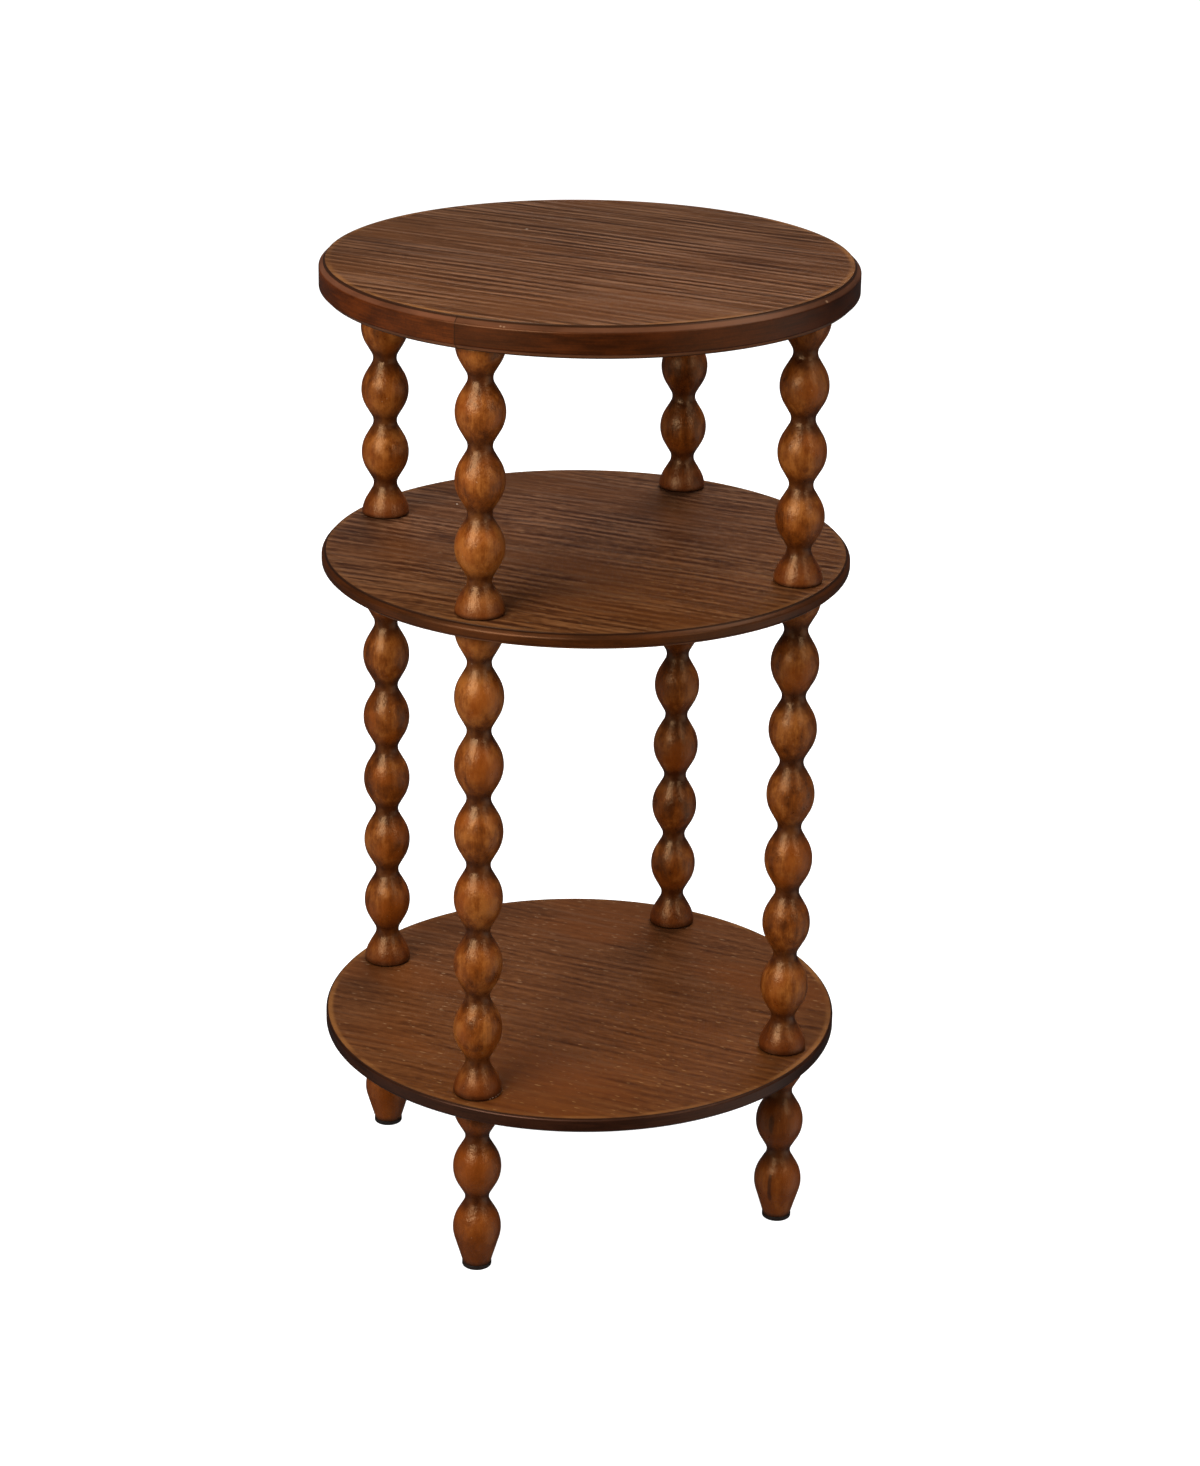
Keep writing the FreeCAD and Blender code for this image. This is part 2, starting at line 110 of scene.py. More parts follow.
class Lathe:
    """Draws half an outline in the XZ plane and turns it about the upright axis."""

    def __init__(self, across: float, up: float) -> None:
        """Start the outline.

        Args:
            across: distance of the first point from the axis.
            up: level of the first point.
        """
        self.bm: BMesh = bmesh.new()
        self.first: BMVert = self.bm.verts.new((across, 0.0, up))
        self.tip: BMVert = self.first

    def line(self, *points: Pair) -> None:
        """Draw straight lines on through some points.

        Args:
            *points: distance from the axis and level of each.
        """
        for across, up in points:
            self.tip = bmesh.ops.extrude_vert_indiv(self.bm, verts=[self.tip])["verts"][0]
            self.tip.co = (across, 0.0, up)

    def side(self, across: float, up: float, margin: float) -> None:
        """Draw a straight line to a point, with a vertex a margin away from each end if it is long enough.

        Args:
            across: distance of the point from the axis.
            up: level of the point.
            margin: how far the two vertices stand from the ends.
        """
        start = self.tip.co.copy()
        end = Vector((across, 0.0, up))
        if (end - start).length > LEAST_MARGINS * margin:
            step = (end - start).normalized() * margin
            self.line((start.x + step.x, start.z + step.z), (end.x - step.x, end.z - step.z))
        self.line((across, up))

    def arc(self, across: float, up: float, angle: float, steps: int) -> None:
        """Draw an arc on from the last point.

        Args:
            across: distance of the arc's centre from the axis.
            up: level of the arc's centre.
            angle: angle in radians, from +X towards +Z where it is positive.
            steps: number of straight pieces in the arc.
        """
        made = bmesh.ops.spin(
            self.bm,
            geom=[self.tip],
            cent=(across, 0.0, up),
            axis=PROFILE_AXIS,
            angle=angle,
            steps=steps,
            use_merge=False,
            use_duplicate=False,
        )
        self.tip = next(item for item in made["geom_last"] if isinstance(item, BMVert))

    def close(self) -> None:
        """Join the last point to the first."""
        self.bm.edges.new((self.tip, self.first))

    def turn(self, steps: int, start: float = 0.0, sweep: float = 360.0) -> BMesh:
        """Turn the outline about the axis.

        Args:
            steps: number of facets round the sweep.
            start: angle in degrees at which the sweep starts.
            sweep: angle in degrees; less than a full turn gets an end at each side.

        Returns:
            The mesh, closed and facing outwards.
        """
        bm = self.bm
        outline = bm.verts[:] + bm.edges[:]
        full = sweep >= 360.0
        matrix = Matrix.Rotation(math.radians(start), 3, "Z")
        bmesh.ops.rotate(bm, verts=bm.verts[:], cent=(0.0, 0.0, 0.0), matrix=matrix)
        bmesh.ops.spin(
            bm,
            geom=outline,
            cent=(0.0, 0.0, 0.0),
            axis=UPRIGHT,
            angle=math.radians(sweep),
            steps=steps,
            use_merge=full,
            use_duplicate=False,
        )
        bmesh.ops.remove_doubles(bm, verts=bm.verts[:], dist=MERGE_DISTANCE)
        if not full:
            rims = [edge for edge in bm.edges if edge.is_boundary]
            bmesh.ops.holes_fill(bm, edges=rims, sides=0)
        bmesh.ops.recalc_face_normals(bm, faces=bm.faces[:])
        return bm


def mark_layer(bm: BMesh, name: Mark) -> BMLayerItem:
    """The mesh's layer for a mark, a new one where there is none."""
    layers = bm.verts.layers.float
    return layers.get(name.value) or layers.new(name.value)


def soften(bm: BMesh, edges: Sequence[BMEdge], radius: float, segments: int = 3) -> None:
    """Round some edges a little and mark the new vertices as worn.

    Args:
        bm: the mesh.
        edges: edges to round.
        radius: width of the rounding.
        segments: number of facets across it.
    """
    made = bmesh.ops.bevel(
        bm,
        geom=list(edges),
        offset=radius,
        offset_type="OFFSET",
        affect="EDGES",
        segments=segments,
        profile=0.5,
        material=-1,
        clamp_overlap=True,
    )
    layer = mark_layer(bm, Mark.WEAR)
    for vert in made["verts"]:
        if vert.is_valid:
            vert[layer] = 1.0


def hoop_arrises(bm: BMesh) -> list[BMEdge]:
    """Find the sharp edges that run round the axis.

    Args:
        bm: the mesh.

    Returns:
        The edges.
    """
    found = []
    for edge in bm.edges:
        low, high = (vert.co for vert in edge.verts)
        level = abs(low.z - high.z) < MERGE_DISTANCE
        round_axis = abs(low.xy.length - high.xy.length) < MERGE_DISTANCE
        if level and round_axis and edge.calc_face_angle(0.0) > HOOP_ANGLE:
            found.append(edge)
    return found


def mark(bm: BMesh, name: Mark, rule: Rule) -> None:
    """Give each vertex a number that depends on its distance from the axis and its level.

    Args:
        bm: the mesh, still about the axis.
        name: the attribute.
        rule: the number, from a radius and a level.
    """
    layer = mark_layer(bm, name)
    for vert in bm.verts:
        vert[layer] = min(1.0, max(0.0, rule(vert.co.xy.length, vert.co.z)))


def shift(bm: BMesh, way: Sequence[float]) -> None:
    """Move a mesh."""
    bmesh.ops.translate(bm, vec=way, verts=bm.verts[:])


def add_object(name: str, data: ID) -> Object:
    """Put a mesh, light or camera in the scene.

    Args:
        name: the object's name.
        data: what the object shows.

    Returns:
        The object.
    """
    item = bpy.data.objects.new(name, data)
    bpy.context.scene.collection.objects.link(item)
    return item


def mesh_object(name: str, bm: BMesh, material: Material) -> Object:
    """Put a mesh in the scene.

    Args:
        name: the name of the object and its mesh.
        bm: the mesh, which is used up.
        material: its finish.

    Returns:
        The object.
    """
    mesh = bpy.data.meshes.new(name)
    bm.to_mesh(mesh)
    bm.free()
    mesh.materials.append(material)
    return add_object(name, mesh)


def finish_piece(bm: BMesh, name: str, material: Material, stands_for: str) -> Object:
    """Make an object of a mesh in millimetres and put it on the frame.

    Args:
        bm: the mesh, in its place.
        name: the object's name.
        material: its finish.
        stands_for: the CAD node that it replaces.

    Returns:
        The object.
    """
    bmesh.ops.scale(bm, vec=(MM, MM, MM), verts=bm.verts[:])
    for face in bm.faces:
        face.smooth = True
    for edge in bm.edges:
        edge.smooth = edge.calc_face_angle(0.0) < SHARP_ANGLE
    piece = mesh_object(name, bm, material)
    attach(piece, BODY)
    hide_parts(stands_for)
    log.info("%s: %d faces", name, len(piece.data.polygons))
    return piece


# Finishes


class Nodes:
    """A tree of nodes, with short ways to add and join them. Lengths are in millimetres."""

    def __init__(self, tree: NodeTree) -> None:
        """Take up the nodes of a material or of the world."""
        self.tree = tree

    def add(self, kind: str, feeds: dict[int | str, Feed | None] | None = None, **settings: object) -> Node:
        """Add a node.

        Args:
            kind: Blender's name of the node's type.
            feeds: what goes into its inputs, by number or name; where it is None, nothing does.
            **settings: properties to set on it first.

        Returns:
            The node.
        """
        node = self.tree.nodes.new(kind)
        for name, value in settings.items():
            setattr(node, name, value)
        for key, value in (feeds or {}).items():
            if value is not None:
                self.feed(node.inputs[key], value)
        return node

    def feed(self, socket: NodeSocket, value: Feed) -> None:
        """Link a socket to another, or set its number or colour.

        Args:
            socket: the input.
            value: an output socket, a number, a vector or a colour.
        """
        if isinstance(value, NodeSocket):
            self.tree.links.new(value, socket)
        elif isinstance(value, (int, float)):
            socket.default_value = value
        elif len(value) == 3 and len(socket.default_value) == 4:
            socket.default_value = (*value, 1.0)
        else:
            socket.default_value = value

    def space(self, turn: float = 0.0) -> NodeSocket:
        """Object coordinates, turned about Z.

        Args:
            turn: angle in degrees of the new X axis.

        Returns:
            The place.
        """
        place = self.add("ShaderNodeTexCoord").outputs["Object"]
        feeds = {"Vector": place, "Rotation": (0.0, 0.0, math.radians(turn)), "Scale": (MM, MM, MM)}
        return self.add("ShaderNodeMapping", feeds, vector_type="TEXTURE").outputs["Vector"]

    def attribute(self, name: Mark) -> NodeSocket:
        """The number that a mark gives at each point."""
        return self.add("ShaderNodeAttribute", attribute_name=name.value).outputs["Fac"]

    def split(self, vector: Feed) -> tuple[NodeSocket, ...]:
        """The X, Y and Z of a vector."""
        return tuple(self.add("ShaderNodeSeparateXYZ", {0: vector}).outputs)

    def combine(self, x: Feed, y: Feed, z: Feed = 0.0) -> NodeSocket:
        """A vector of three numbers."""
        return self.add("ShaderNodeCombineXYZ", {0: x, 1: y, 2: z}).outputs[0]

    def vector(self, operation: str, first: Feed, second: Feed | None = None) -> Node:
        """A sum with vectors, by Blender's name of it."""
        return self.add("ShaderNodeVectorMath", {0: first, 1: second}, operation=operation)

    def length(self, vector: Feed) -> NodeSocket:
        """The length of a vector."""
        return self.vector("LENGTH", vector).outputs["Value"]

    def calc(self, operation: str, first: Feed, second: Feed = 0.0, clamp: bool = False) -> NodeSocket:
        """A sum with two numbers, by Blender's name of it; a clamped answer stays from 0 to 1."""
        node = self.add("ShaderNodeMath", {0: first, 1: second}, operation=operation, use_clamp=clamp)
        return node.outputs[0]

    def plus(self, first: Feed, second: Feed) -> NodeSocket:
        """Two numbers added."""
        return self.calc("ADD", first, second)

    def minus(self, first: Feed, second: Feed) -> NodeSocket:
        """The first number less the second."""
        return self.calc("SUBTRACT", first, second)

    def times(self, first: Feed, second: Feed, clamp: bool = False) -> NodeSocket:
        """Two numbers multiplied."""
        return self.calc("MULTIPLY", first, second, clamp)

    def swing(self, *layers: tuple[Feed, float]) -> NodeSocket:
        """Add up how far some noises are from a half, each times its share.

        Args:
            *layers: the noises and their shares.

        Returns:
            The sum.
        """
        total: Feed = 0.0
        for layer, share in layers:
            total = self.plus(total, self.times(self.minus(layer, 0.5), share))
        return total

    def noise(self, vector: Feed, size: Spot, detail: float, rough: float = 0.55) -> NodeSocket:
        """Soft noise about a half in cells of a size, with some finer layers and how much they count."""
        feeds = {"Vector": self.vector("DIVIDE", vector, size).outputs[0], "Scale": 1.0, "Detail": detail}
        return self.add("ShaderNodeTexNoise", feeds | {"Roughness": rough}).outputs["Fac"]

    def step(self, value: Feed, low: float, high: float, least: float = 0.0, most: float = 1.0) -> NodeSocket:
        """Bring the numbers from low to high softly to those from least to most."""
        feeds = {"Value": value, "From Min": low, "From Max": high, "To Min": least, "To Max": most}
        return self.add("ShaderNodeMapRange", feeds, interpolation_type="SMOOTHSTEP").outputs["Result"]

    def ramp(self, value: Feed, stops: Sequence[tuple[float, Colour]]) -> NodeSocket:
        """A colour that changes with a number.

        Args:
            value: the number.
            stops: places from 0 to 1 and the colour at each.

        Returns:
            The colour.
        """
        node = self.add("ShaderNodeValToRGB", {"Fac": value})
        elements = node.color_ramp.elements
        while len(elements) < len(stops):
            elements.new(1.0)
        for element, (place, colour) in zip(elements, stops):
            element.position = place
            element.color = (*colour, 1.0)
        return node.outputs["Color"]

    def mix(self, share: Feed, first: Feed, second: Feed, blend: str = "MIX") -> NodeSocket:
        """Mix two colours by the share of the second, or in another way that Blender names."""
        feeds = {0: share, 6: first, 7: second}
        return self.add("ShaderNodeMix", feeds, data_type="RGBA", blend_type=blend).outputs[2]

    def near(self, vector: Feed, spot: Sequence[float], reach: Sequence[float]) -> NodeSocket:
        """A soft spot with three half sizes: one in its middle and nothing from its rim on."""
        away = self.vector("DIVIDE", self.vector("SUBTRACT", vector, spot).outputs[0], reach)
        return self.step(self.length(away.outputs[0]), 0.55, 1.0, 1.0, 0.0)


class Bench(Nodes):
    """A material's nodes, with the colour and the relief laid on so far."""

    def __init__(self, name: str) -> None:
        """Start a material with its shader.

        Args:
            name: the material's name.
        """
        self.material: Material = bpy.data.materials.new(name)
        self.material.use_nodes = True
        super().__init__(self.material.node_tree)
        self.tree.nodes.clear()
        self.shader: Node = self.add("ShaderNodeBsdfPrincipled")
        self.add("ShaderNodeOutputMaterial", {"Surface": self.shader.outputs["BSDF"]})
        self.colour: Feed = (0.0, 0.0, 0.0)
        self.relief: Feed | None = None

    def stain(self, share: Feed, tone: Feed, blend: str = "MIX") -> None:
        """Lay a share of a tone over the colour, in the way that Blender names."""
        self.colour = self.mix(share, self.colour, tone, blend)

    def carve(self, height: Feed, distance: float, strength: float) -> None:
        """Lay a relief with a full height in millimetres and a strength over the last one."""
        feeds = {"Height": height, "Distance": distance * MM, "Strength": strength, "Normal": self.relief}
        self.relief = self.add("ShaderNodeBump", feeds).outputs["Normal"]

    def finish(self, rough: Feed, gloss: float, **others: Feed) -> Material:
        """Feed the shader.

        Args:
            rough: the roughness.
            gloss: level of the sheen.
            **others: other inputs by name, with underscores for spaces.

        Returns:
            The finished material.
        """
        inputs = {"Base_Color": self.colour, "Normal": self.relief, "Specular_IOR_Level": gloss}
        for name, value in (inputs | others | {"Roughness": rough}).items():
            self.feed(self.shader.inputs[name.replace("_", " ")], value)
        return self.material


@dataclass(frozen=True)
class Veneer:
    """Open-pored straight-grained veneer, stained and sealed satin."""

    name: str
    grain_angle: float
    rim_radius: float
    dark: Colour
    middle: Colour
    light: Colour
    warm: Colour
    streak: Colour
    roughness: float = 0.38
    gloss: float = 0.32
    sheen_tone: Colour = (1.0, 0.72, 0.48)
    wobble: float = 12.0
    streak_length: float = 90.0
    speckle: float = 0.35
    ribbons: tuple[float, ...] = (10.6, 7.7)
    ribbon_share: float = 0.20
    contrast: float = 1.0
    fleck_share: float = 0.25
    fleck: Colour = (0.26, 0.15, 0.08)
    front_light_tint: Colour = (1.0, 0.95, 0.85)
    front_light_levels: Pair = (-150.0, 110.0)
    golden: Colour = (0.200, 0.078, 0.020)
    rim_highlight_reach: Pair = (4.8, 2.2)
    cut: Colour = (0.030, 0.010, 0.004)
    dark_cut_rim: Pair = (0.6, 0.15)
    specks: tuple[Spot, ...] = ()
    speck: Colour = (0.36, 0.27, 0.20)
    speck_reach: Spot = (0.9, 1.5, 1.5)

    def make(self) -> Material:
        """Build the material.

        Returns:
            The material.
        """
        b = Bench(self.name)
        flat = b.space(self.grain_angle)
        along, across, _ = b.split(flat)
        drift = b.noise(flat, (210.0, 120.0, 90.0), 1.0)
        grain = b.combine(along, b.plus(across, b.swing((drift, self.wobble))))
        fibres = b.noise(grain, (self.streak_length * 0.7, 2.6, 1.0), 0.0)
        lines = b.swing(
            (b.noise(grain, (300.0, 22.0, 1.0), 1.0), 0.5),
            (b.noise(grain, (self.streak_length, 5.2, 1.0), 0.0), 0.55),
            (fibres, 0.9),
            (b.noise(grain, (self.streak_length * 0.4, 1.2, 1.0), 1.0), 0.6),
            (b.noise(grain, (6.5, 2.4, 1.0), 0.0), self.speckle),
        )
        for period in self.ribbons:
            lines = b.plus(lines, self.draw_ribbon(b, grain, period))
        tone = b.plus(b.times(lines, self.contrast), 0.5)
        b.colour = b.ramp(tone, ((0.05, self.dark), (0.5, self.middle), (0.95, self.light)))
        warmth = b.noise(flat, (150.0, 70.0, 90.0), 2.0)
        b.stain(b.step(warmth, 0.46, 0.66, 0.0, 0.6), self.warm)
        streaks = b.noise(grain, (self.streak_length * 2.0, 4.2, 1.0), 0.0)
        b.stain(b.step(streaks, 0.62, 0.70, 0.0, 0.45), self.streak)
        pits = b.step(b.noise(grain, (9.0, 0.7, 1.0), 1.0), 0.56, 0.70)
        b.stain(b.times(pits, 0.4), self.dark)
        flecks = b.noise(grain, (6.0, 1.6, 1.0), 0.0)
        b.stain(b.step(flecks, 0.74, 0.80, 0.0, self.fleck_share), self.fleck)
        where = b.space()
        x, y, _ = b.split(where)
        # Painted light and sheen: the colour is multiplied by a tint towards the front, brighter on the top
        # and warmer on the shelves
        b.stain(b.step(y, *self.front_light_levels, 1.0, 0.0), self.front_light_tint, "MULTIPLY")
        radius = b.length(b.combine(x, y))
        # A lighter golden band in patches along the rim: painted highlight and reflection, partly rubbed wear
        near_rim, far_rim = (self.rim_radius - part for part in self.rim_highlight_reach)
        patchy = b.step(b.noise(where, (48.0, 48.0, 48.0), 3.0), 0.42, 0.66, 0.12, 0.7)
        b.stain(b.times(b.step(radius, near_rim, far_rim), patchy), self.golden)
        # Dark cut edge of the veneer, together with painted shade along the quirk between the veneer and the
        # edging's shoulder
        near_rim, far_rim = (self.rim_radius - part for part in self.dark_cut_rim)
        b.stain(b.step(radius, near_rim, far_rim), self.cut)
        for spot in self.specks:
            b.stain(b.near(where, spot, self.speck_reach), self.speck)
        rough = b.plus(b.times(fibres, 0.16), self.roughness - 0.08)
        b.carve(fibres, 0.03, 0.6)
        b.carve(b.minus(1.0, pits), 0.012, 0.6)
        return b.finish(rough, self.gloss, Specular_Tint=self.sheen_tone)

    def draw_ribbon(self, b: Bench, grain: NodeSocket, period: float) -> NodeSocket:
        """Draw growth lines side by side, a little uneven and fading along their length.

        Args:
            b: the material's bench.
            grain: place along and across the grain.
            period: distance between two lines.

        Returns:
            What the lines add to the tone.
        """
        _, across, _ = b.split(grain)
        sway = b.noise(grain, (self.streak_length * 2.5, period * 4.0, period), 1.0)
        turns = b.times(b.plus(across, b.swing((sway, period * 1.6))), math.tau / period)
        fade = b.noise(grain, (self.streak_length * 0.9, period * 1.1, period * 2.0), 1.0)
        share = b.step(fade, 0.34, 0.62, self.ribbon_share * 0.4, self.ribbon_share * 1.5)
        return b.times(b.calc("SINE", turns), share)


@dataclass(frozen=True)
class Edging:
    """A bent strip of dark stained wood with its grain round the hoop."""

    name: str
    dark: Colour
    middle: Colour
    rubbed: Colour
    radius: float = BOARD_RADIUS
    roughness: float = 0.36
    gloss: float = 0.44
    sheen_tone: Colour = (1.0, 0.47, 0.22)
    quirk_radius: float = 0.0
    quirk_dark_width: float = 1.0
    quirk_stain_and_shade: Colour = (0.010, 0.003, 0.001)
    quirk_dark_fade: float = 0.4
    bevel_level: float = 0.0
    bevel_fade: float = 1.0
    bevel_painted_light: Colour = (0.180, 0.070, 0.030)
    shoulder_level: float = 1000.0
    shoulder_fade: float = 0.8
    shoulder_painted_light: Colour = (0.092, 0.034, 0.0155)
    scuff: Colour = (0.34, 0.19, 0.11)
    joints: tuple[float, ...] = ()
    joint_line: Colour = (0.006, 0.002, 0.001)
    joint_fade: Pair = (0.15, 0.55)
    chips: tuple[tuple[float, float, float, float], ...] = ()
    chip: Colour = (0.22, 0.12, 0.065)

    def make(self) -> Material:
        """Build the material.

        Returns:
            The material.
        """
        b = Bench(self.name)
        where = b.space()
        x, y, z = b.split(where)
        arc = b.times(b.calc("ARCTAN2", y, x), self.radius)
        hoop = b.combine(arc, z)
        streaks = b.noise(hoop, (26.0, 1.1, 1.0), 4.0, 0.6)
        patches = b.noise(where, (34.0, 34.0, 9.0), 3.0)
        grit = b.noise(where, (1.6, 1.6, 1.6), 2.0)
        tone = b.plus(b.times(streaks, 0.6), b.times(patches, 0.7))
        tone = b.plus(tone, b.swing((grit, 0.25)))
        b.colour = b.mix(b.step(tone, 0.46, 0.86), self.dark, self.middle)
        # Painted light: the shoulder is lighter above its level, in patches, where light from above falls on
        # it
        above = b.step(z, self.shoulder_level, self.shoulder_level + self.shoulder_fade, 0.0, 0.8)
        b.stain(b.times(b.times(above, patches), 1.6, clamp=True), self.shoulder_painted_light)
        wear = b.attribute(Mark.WEAR)
        b.stain(b.times(wear, b.step(patches, 0.36, 0.6, 0.25, 0.85)), self.rubbed)
        # Painted light: the lower bevel is lighter below its level, in patches, where light bouncing off the
        # floor falls on it
        below = b.step(z, self.bevel_level - self.bevel_fade, self.bevel_level, 0.8, 0.0)
        b.stain(b.times(b.times(below, patches), 1.6, clamp=True), self.bevel_painted_light)
        scuffs = b.step(b.noise(where, (2.2, 2.2, 0.8), 3.0, 0.7), 0.67, 0.74)
        b.stain(b.times(scuffs, wear), self.scuff)
        # Dark along the quirk at the rim of the face veneer: pooled stain and painted shade in the crease
        quirk_dark_rim = self.quirk_radius + self.quirk_dark_width
        pooled_stain_and_shade = b.step(b.length(b.combine(x, y)), quirk_dark_rim - self.quirk_dark_fade, quirk_dark_rim, 0.85, 0.0)
        b.stain(pooled_stain_and_shade, self.quirk_stain_and_shade)
        for joint in self.joints:
            off = b.calc("ABSOLUTE", b.minus(arc, math.radians(joint) * self.radius))
            b.stain(b.step(off, *self.joint_fade, 0.85, 0.0), self.joint_line)
        for *spot, reach in self.chips:
            b.stain(b.near(where, spot, (reach, reach, reach * 0.7)), self.chip)
        rough = b.plus(b.times(patches, 0.18), self.roughness - 0.09)
        b.carve(streaks, 0.05, 0.5)
        b.carve(b.noise(hoop, (7.0, 0.35, 1.0), 2.0), 0.02, 0.5)
        return b.finish(rough, self.gloss, Specular_Tint=self.sheen_tone)


@dataclass(frozen=True)
class Turned:
    """Turned wood with its grain upright, stained amber, dark in the hollows with pooled stain and painted
    shade, lacquered satin.
    """

    name: str = "turned_amber_wood"
    dark: Colour = (0.058, 0.0125, 0.0016)
    middle: Colour = (0.127, 0.0288, 0.0026)
    light: Colour = (0.222, 0.066, 0.010)
    orange: Colour = (0.174, 0.036, 0.0024)
    pooled_stain_and_shade: Colour = (0.028, 0.0058, 0.0012)
    contact_shade: Colour = (0.008, 0.002, 0.0004)
    fleck: Colour = (0.50, 0.32, 0.18)
    roughness: float = 0.34
    gloss: float = 0.50
    sheen_tone: Colour = (1.0, 0.60, 0.30)
    stain_spots: tuple[tuple[Spot, Spot], ...] = ()
    stain: Colour = (0.030, 0.006, 0.002)
    residue_spots: tuple[Spot, ...] = ()
    residue: Colour = (0.40, 0.28, 0.19)
    residue_reach: Spot = (0.7, 0.7, 0.45)
    leg_painted_light: tuple[tuple[Spot, Spot, float], ...] = ()
    seats: tuple[float, ...] = ()
    seat_painted_shade: Colour = (0.078, 0.0155, 0.0026)
    seat_shade_fade: Pair = (4.0, 22.0)
    feet_level: float = 117.6
    feet_fade: float = 16.0
    feet_tone: Colour = (0.150, 0.030, 0.0020)

    def make(self) -> Material:
        """Build the material.

        Returns:
            The material.
        """
        b = Bench(self.name)
        where = b.space()
        _, _, z = b.split(where)
        rings = b.noise(where, (5.5, 5.5, 95.0), 3.0, 0.6)
        fibres = b.noise(where, (0.9, 0.9, 17.0), 3.0, 0.6)
        mottle = b.noise(where, (7.5, 7.5, 10.0), 4.0, 0.65)
        clouds = b.noise(where, (34.0, 34.0, 42.0), 2.0)
        tone = b.plus(b.swing((rings, 0.95), (fibres, 0.5), (mottle, 1.25)), clouds)
        # Painted light and shade on some legs
        for leg, reach, change in self.leg_painted_light:
            tone = b.plus(tone, b.times(b.near(where, leg, reach), change))
        b.colour = b.ramp(tone, ((0.2, self.dark), (0.5, self.middle), (0.82, self.light)))
        glow = b.step(b.noise(where, (26.0, 26.0, 30.0), 2.0), 0.5, 0.66, 0.0, 0.6)
        b.stain(glow, self.orange)
        b.stain(b.step(z, self.feet_level - self.feet_fade, self.feet_level, 0.5, 0.0), self.feet_tone)
        # Painted shade and red bounce light from the board below: a darker tone just above each seat
        starts, ends = self.seat_shade_fade
        for seat in self.seats:
            stained = b.step(z, seat + starts, seat + ends, 0.7, 0.0)
            b.stain(b.times(b.calc("LESS_THAN", seat, z), stained), self.seat_painted_shade)
        # Pooled stain and painted shade in the necks and at the seats
        hollow = b.attribute(Mark.HOLLOW)
        pooled_stain_and_shade = b.times(b.step(hollow, 0.30, 0.90), b.step(mottle, 0.3, 0.62, 0.95, 0.75))
        b.stain(pooled_stain_and_shade, self.pooled_stain_and_shade)
        # Painted shade: a dark contact line where a piece meets a board at its seat
        b.stain(b.step(hollow, NECK_SHADE, 1.0, 0.0, 0.9), self.contact_shade)
        pits = b.step(b.noise(where, (0.7, 0.7, 1.0), 1.0), 0.755, 0.785)
        b.stain(b.times(pits, 0.45), self.pooled_stain_and_shade)
        flecks = b.step(b.noise(where, (1.3, 1.3, 1.9), 1.0), 0.785, 0.81)
        b.stain(b.times(flecks, 0.35), self.fleck)
        for spot, reach in self.stain_spots:
            dark = b.times(b.near(where, spot, reach), b.step(fibres, 0.3, 0.6, 0.5, 0.9))
            b.stain(dark, self.stain)
        for spot in self.residue_spots:
            b.stain(b.near(where, spot, self.residue_reach), self.residue)
        rough = b.plus(b.swing((mottle, 0.4)), self.roughness)
        cuts = b.noise(b.combine(0.0, 0.0, z), (1.0, 1.0, 0.55), 2.0)
        b.carve(cuts, 0.02, 0.35)
        b.carve(mottle, 0.6, 0.8)
        b.carve(b.noise(where, (1.9, 1.9, 2.3), 2.0, 0.6), 0.26, 0.9)
        b.carve(fibres, 0.03, 0.5)
        return b.finish(rough, self.gloss, Specular_Tint=self.sheen_tone)


@dataclass(frozen=True)
class Plain:
    """A finish with fine mottling: raw board, hard plastic or metal."""

    name: str
    dark: Colour
    light: Colour
    cell: float
    roughness: float
    relief: float
    metal: float = 0.0
    gloss: float = 0.5

    def make(self) -> Material:
        """Build the material.

        Returns:
            The material.
        """
        b = Bench(self.name)
        where = b.space()
        mottle = b.noise(where, (self.cell, self.cell, self.cell), 4.0, 0.6)
        scratches = b.noise(where, (self.cell * 6, self.cell * 0.4, self.cell), 2.0)
        tone = b.plus(b.times(mottle, 0.6), b.times(scratches, 0.4))
        b.colour = b.mix(b.step(tone, 0.35, 0.65), self.dark, self.light)
        rough = b.plus(b.times(tone, 0.2), self.roughness - 0.1)
        b.carve(tone, self.relief, 0.6)
        return b.finish(rough, self.gloss, Metallic=self.metal)


# The table


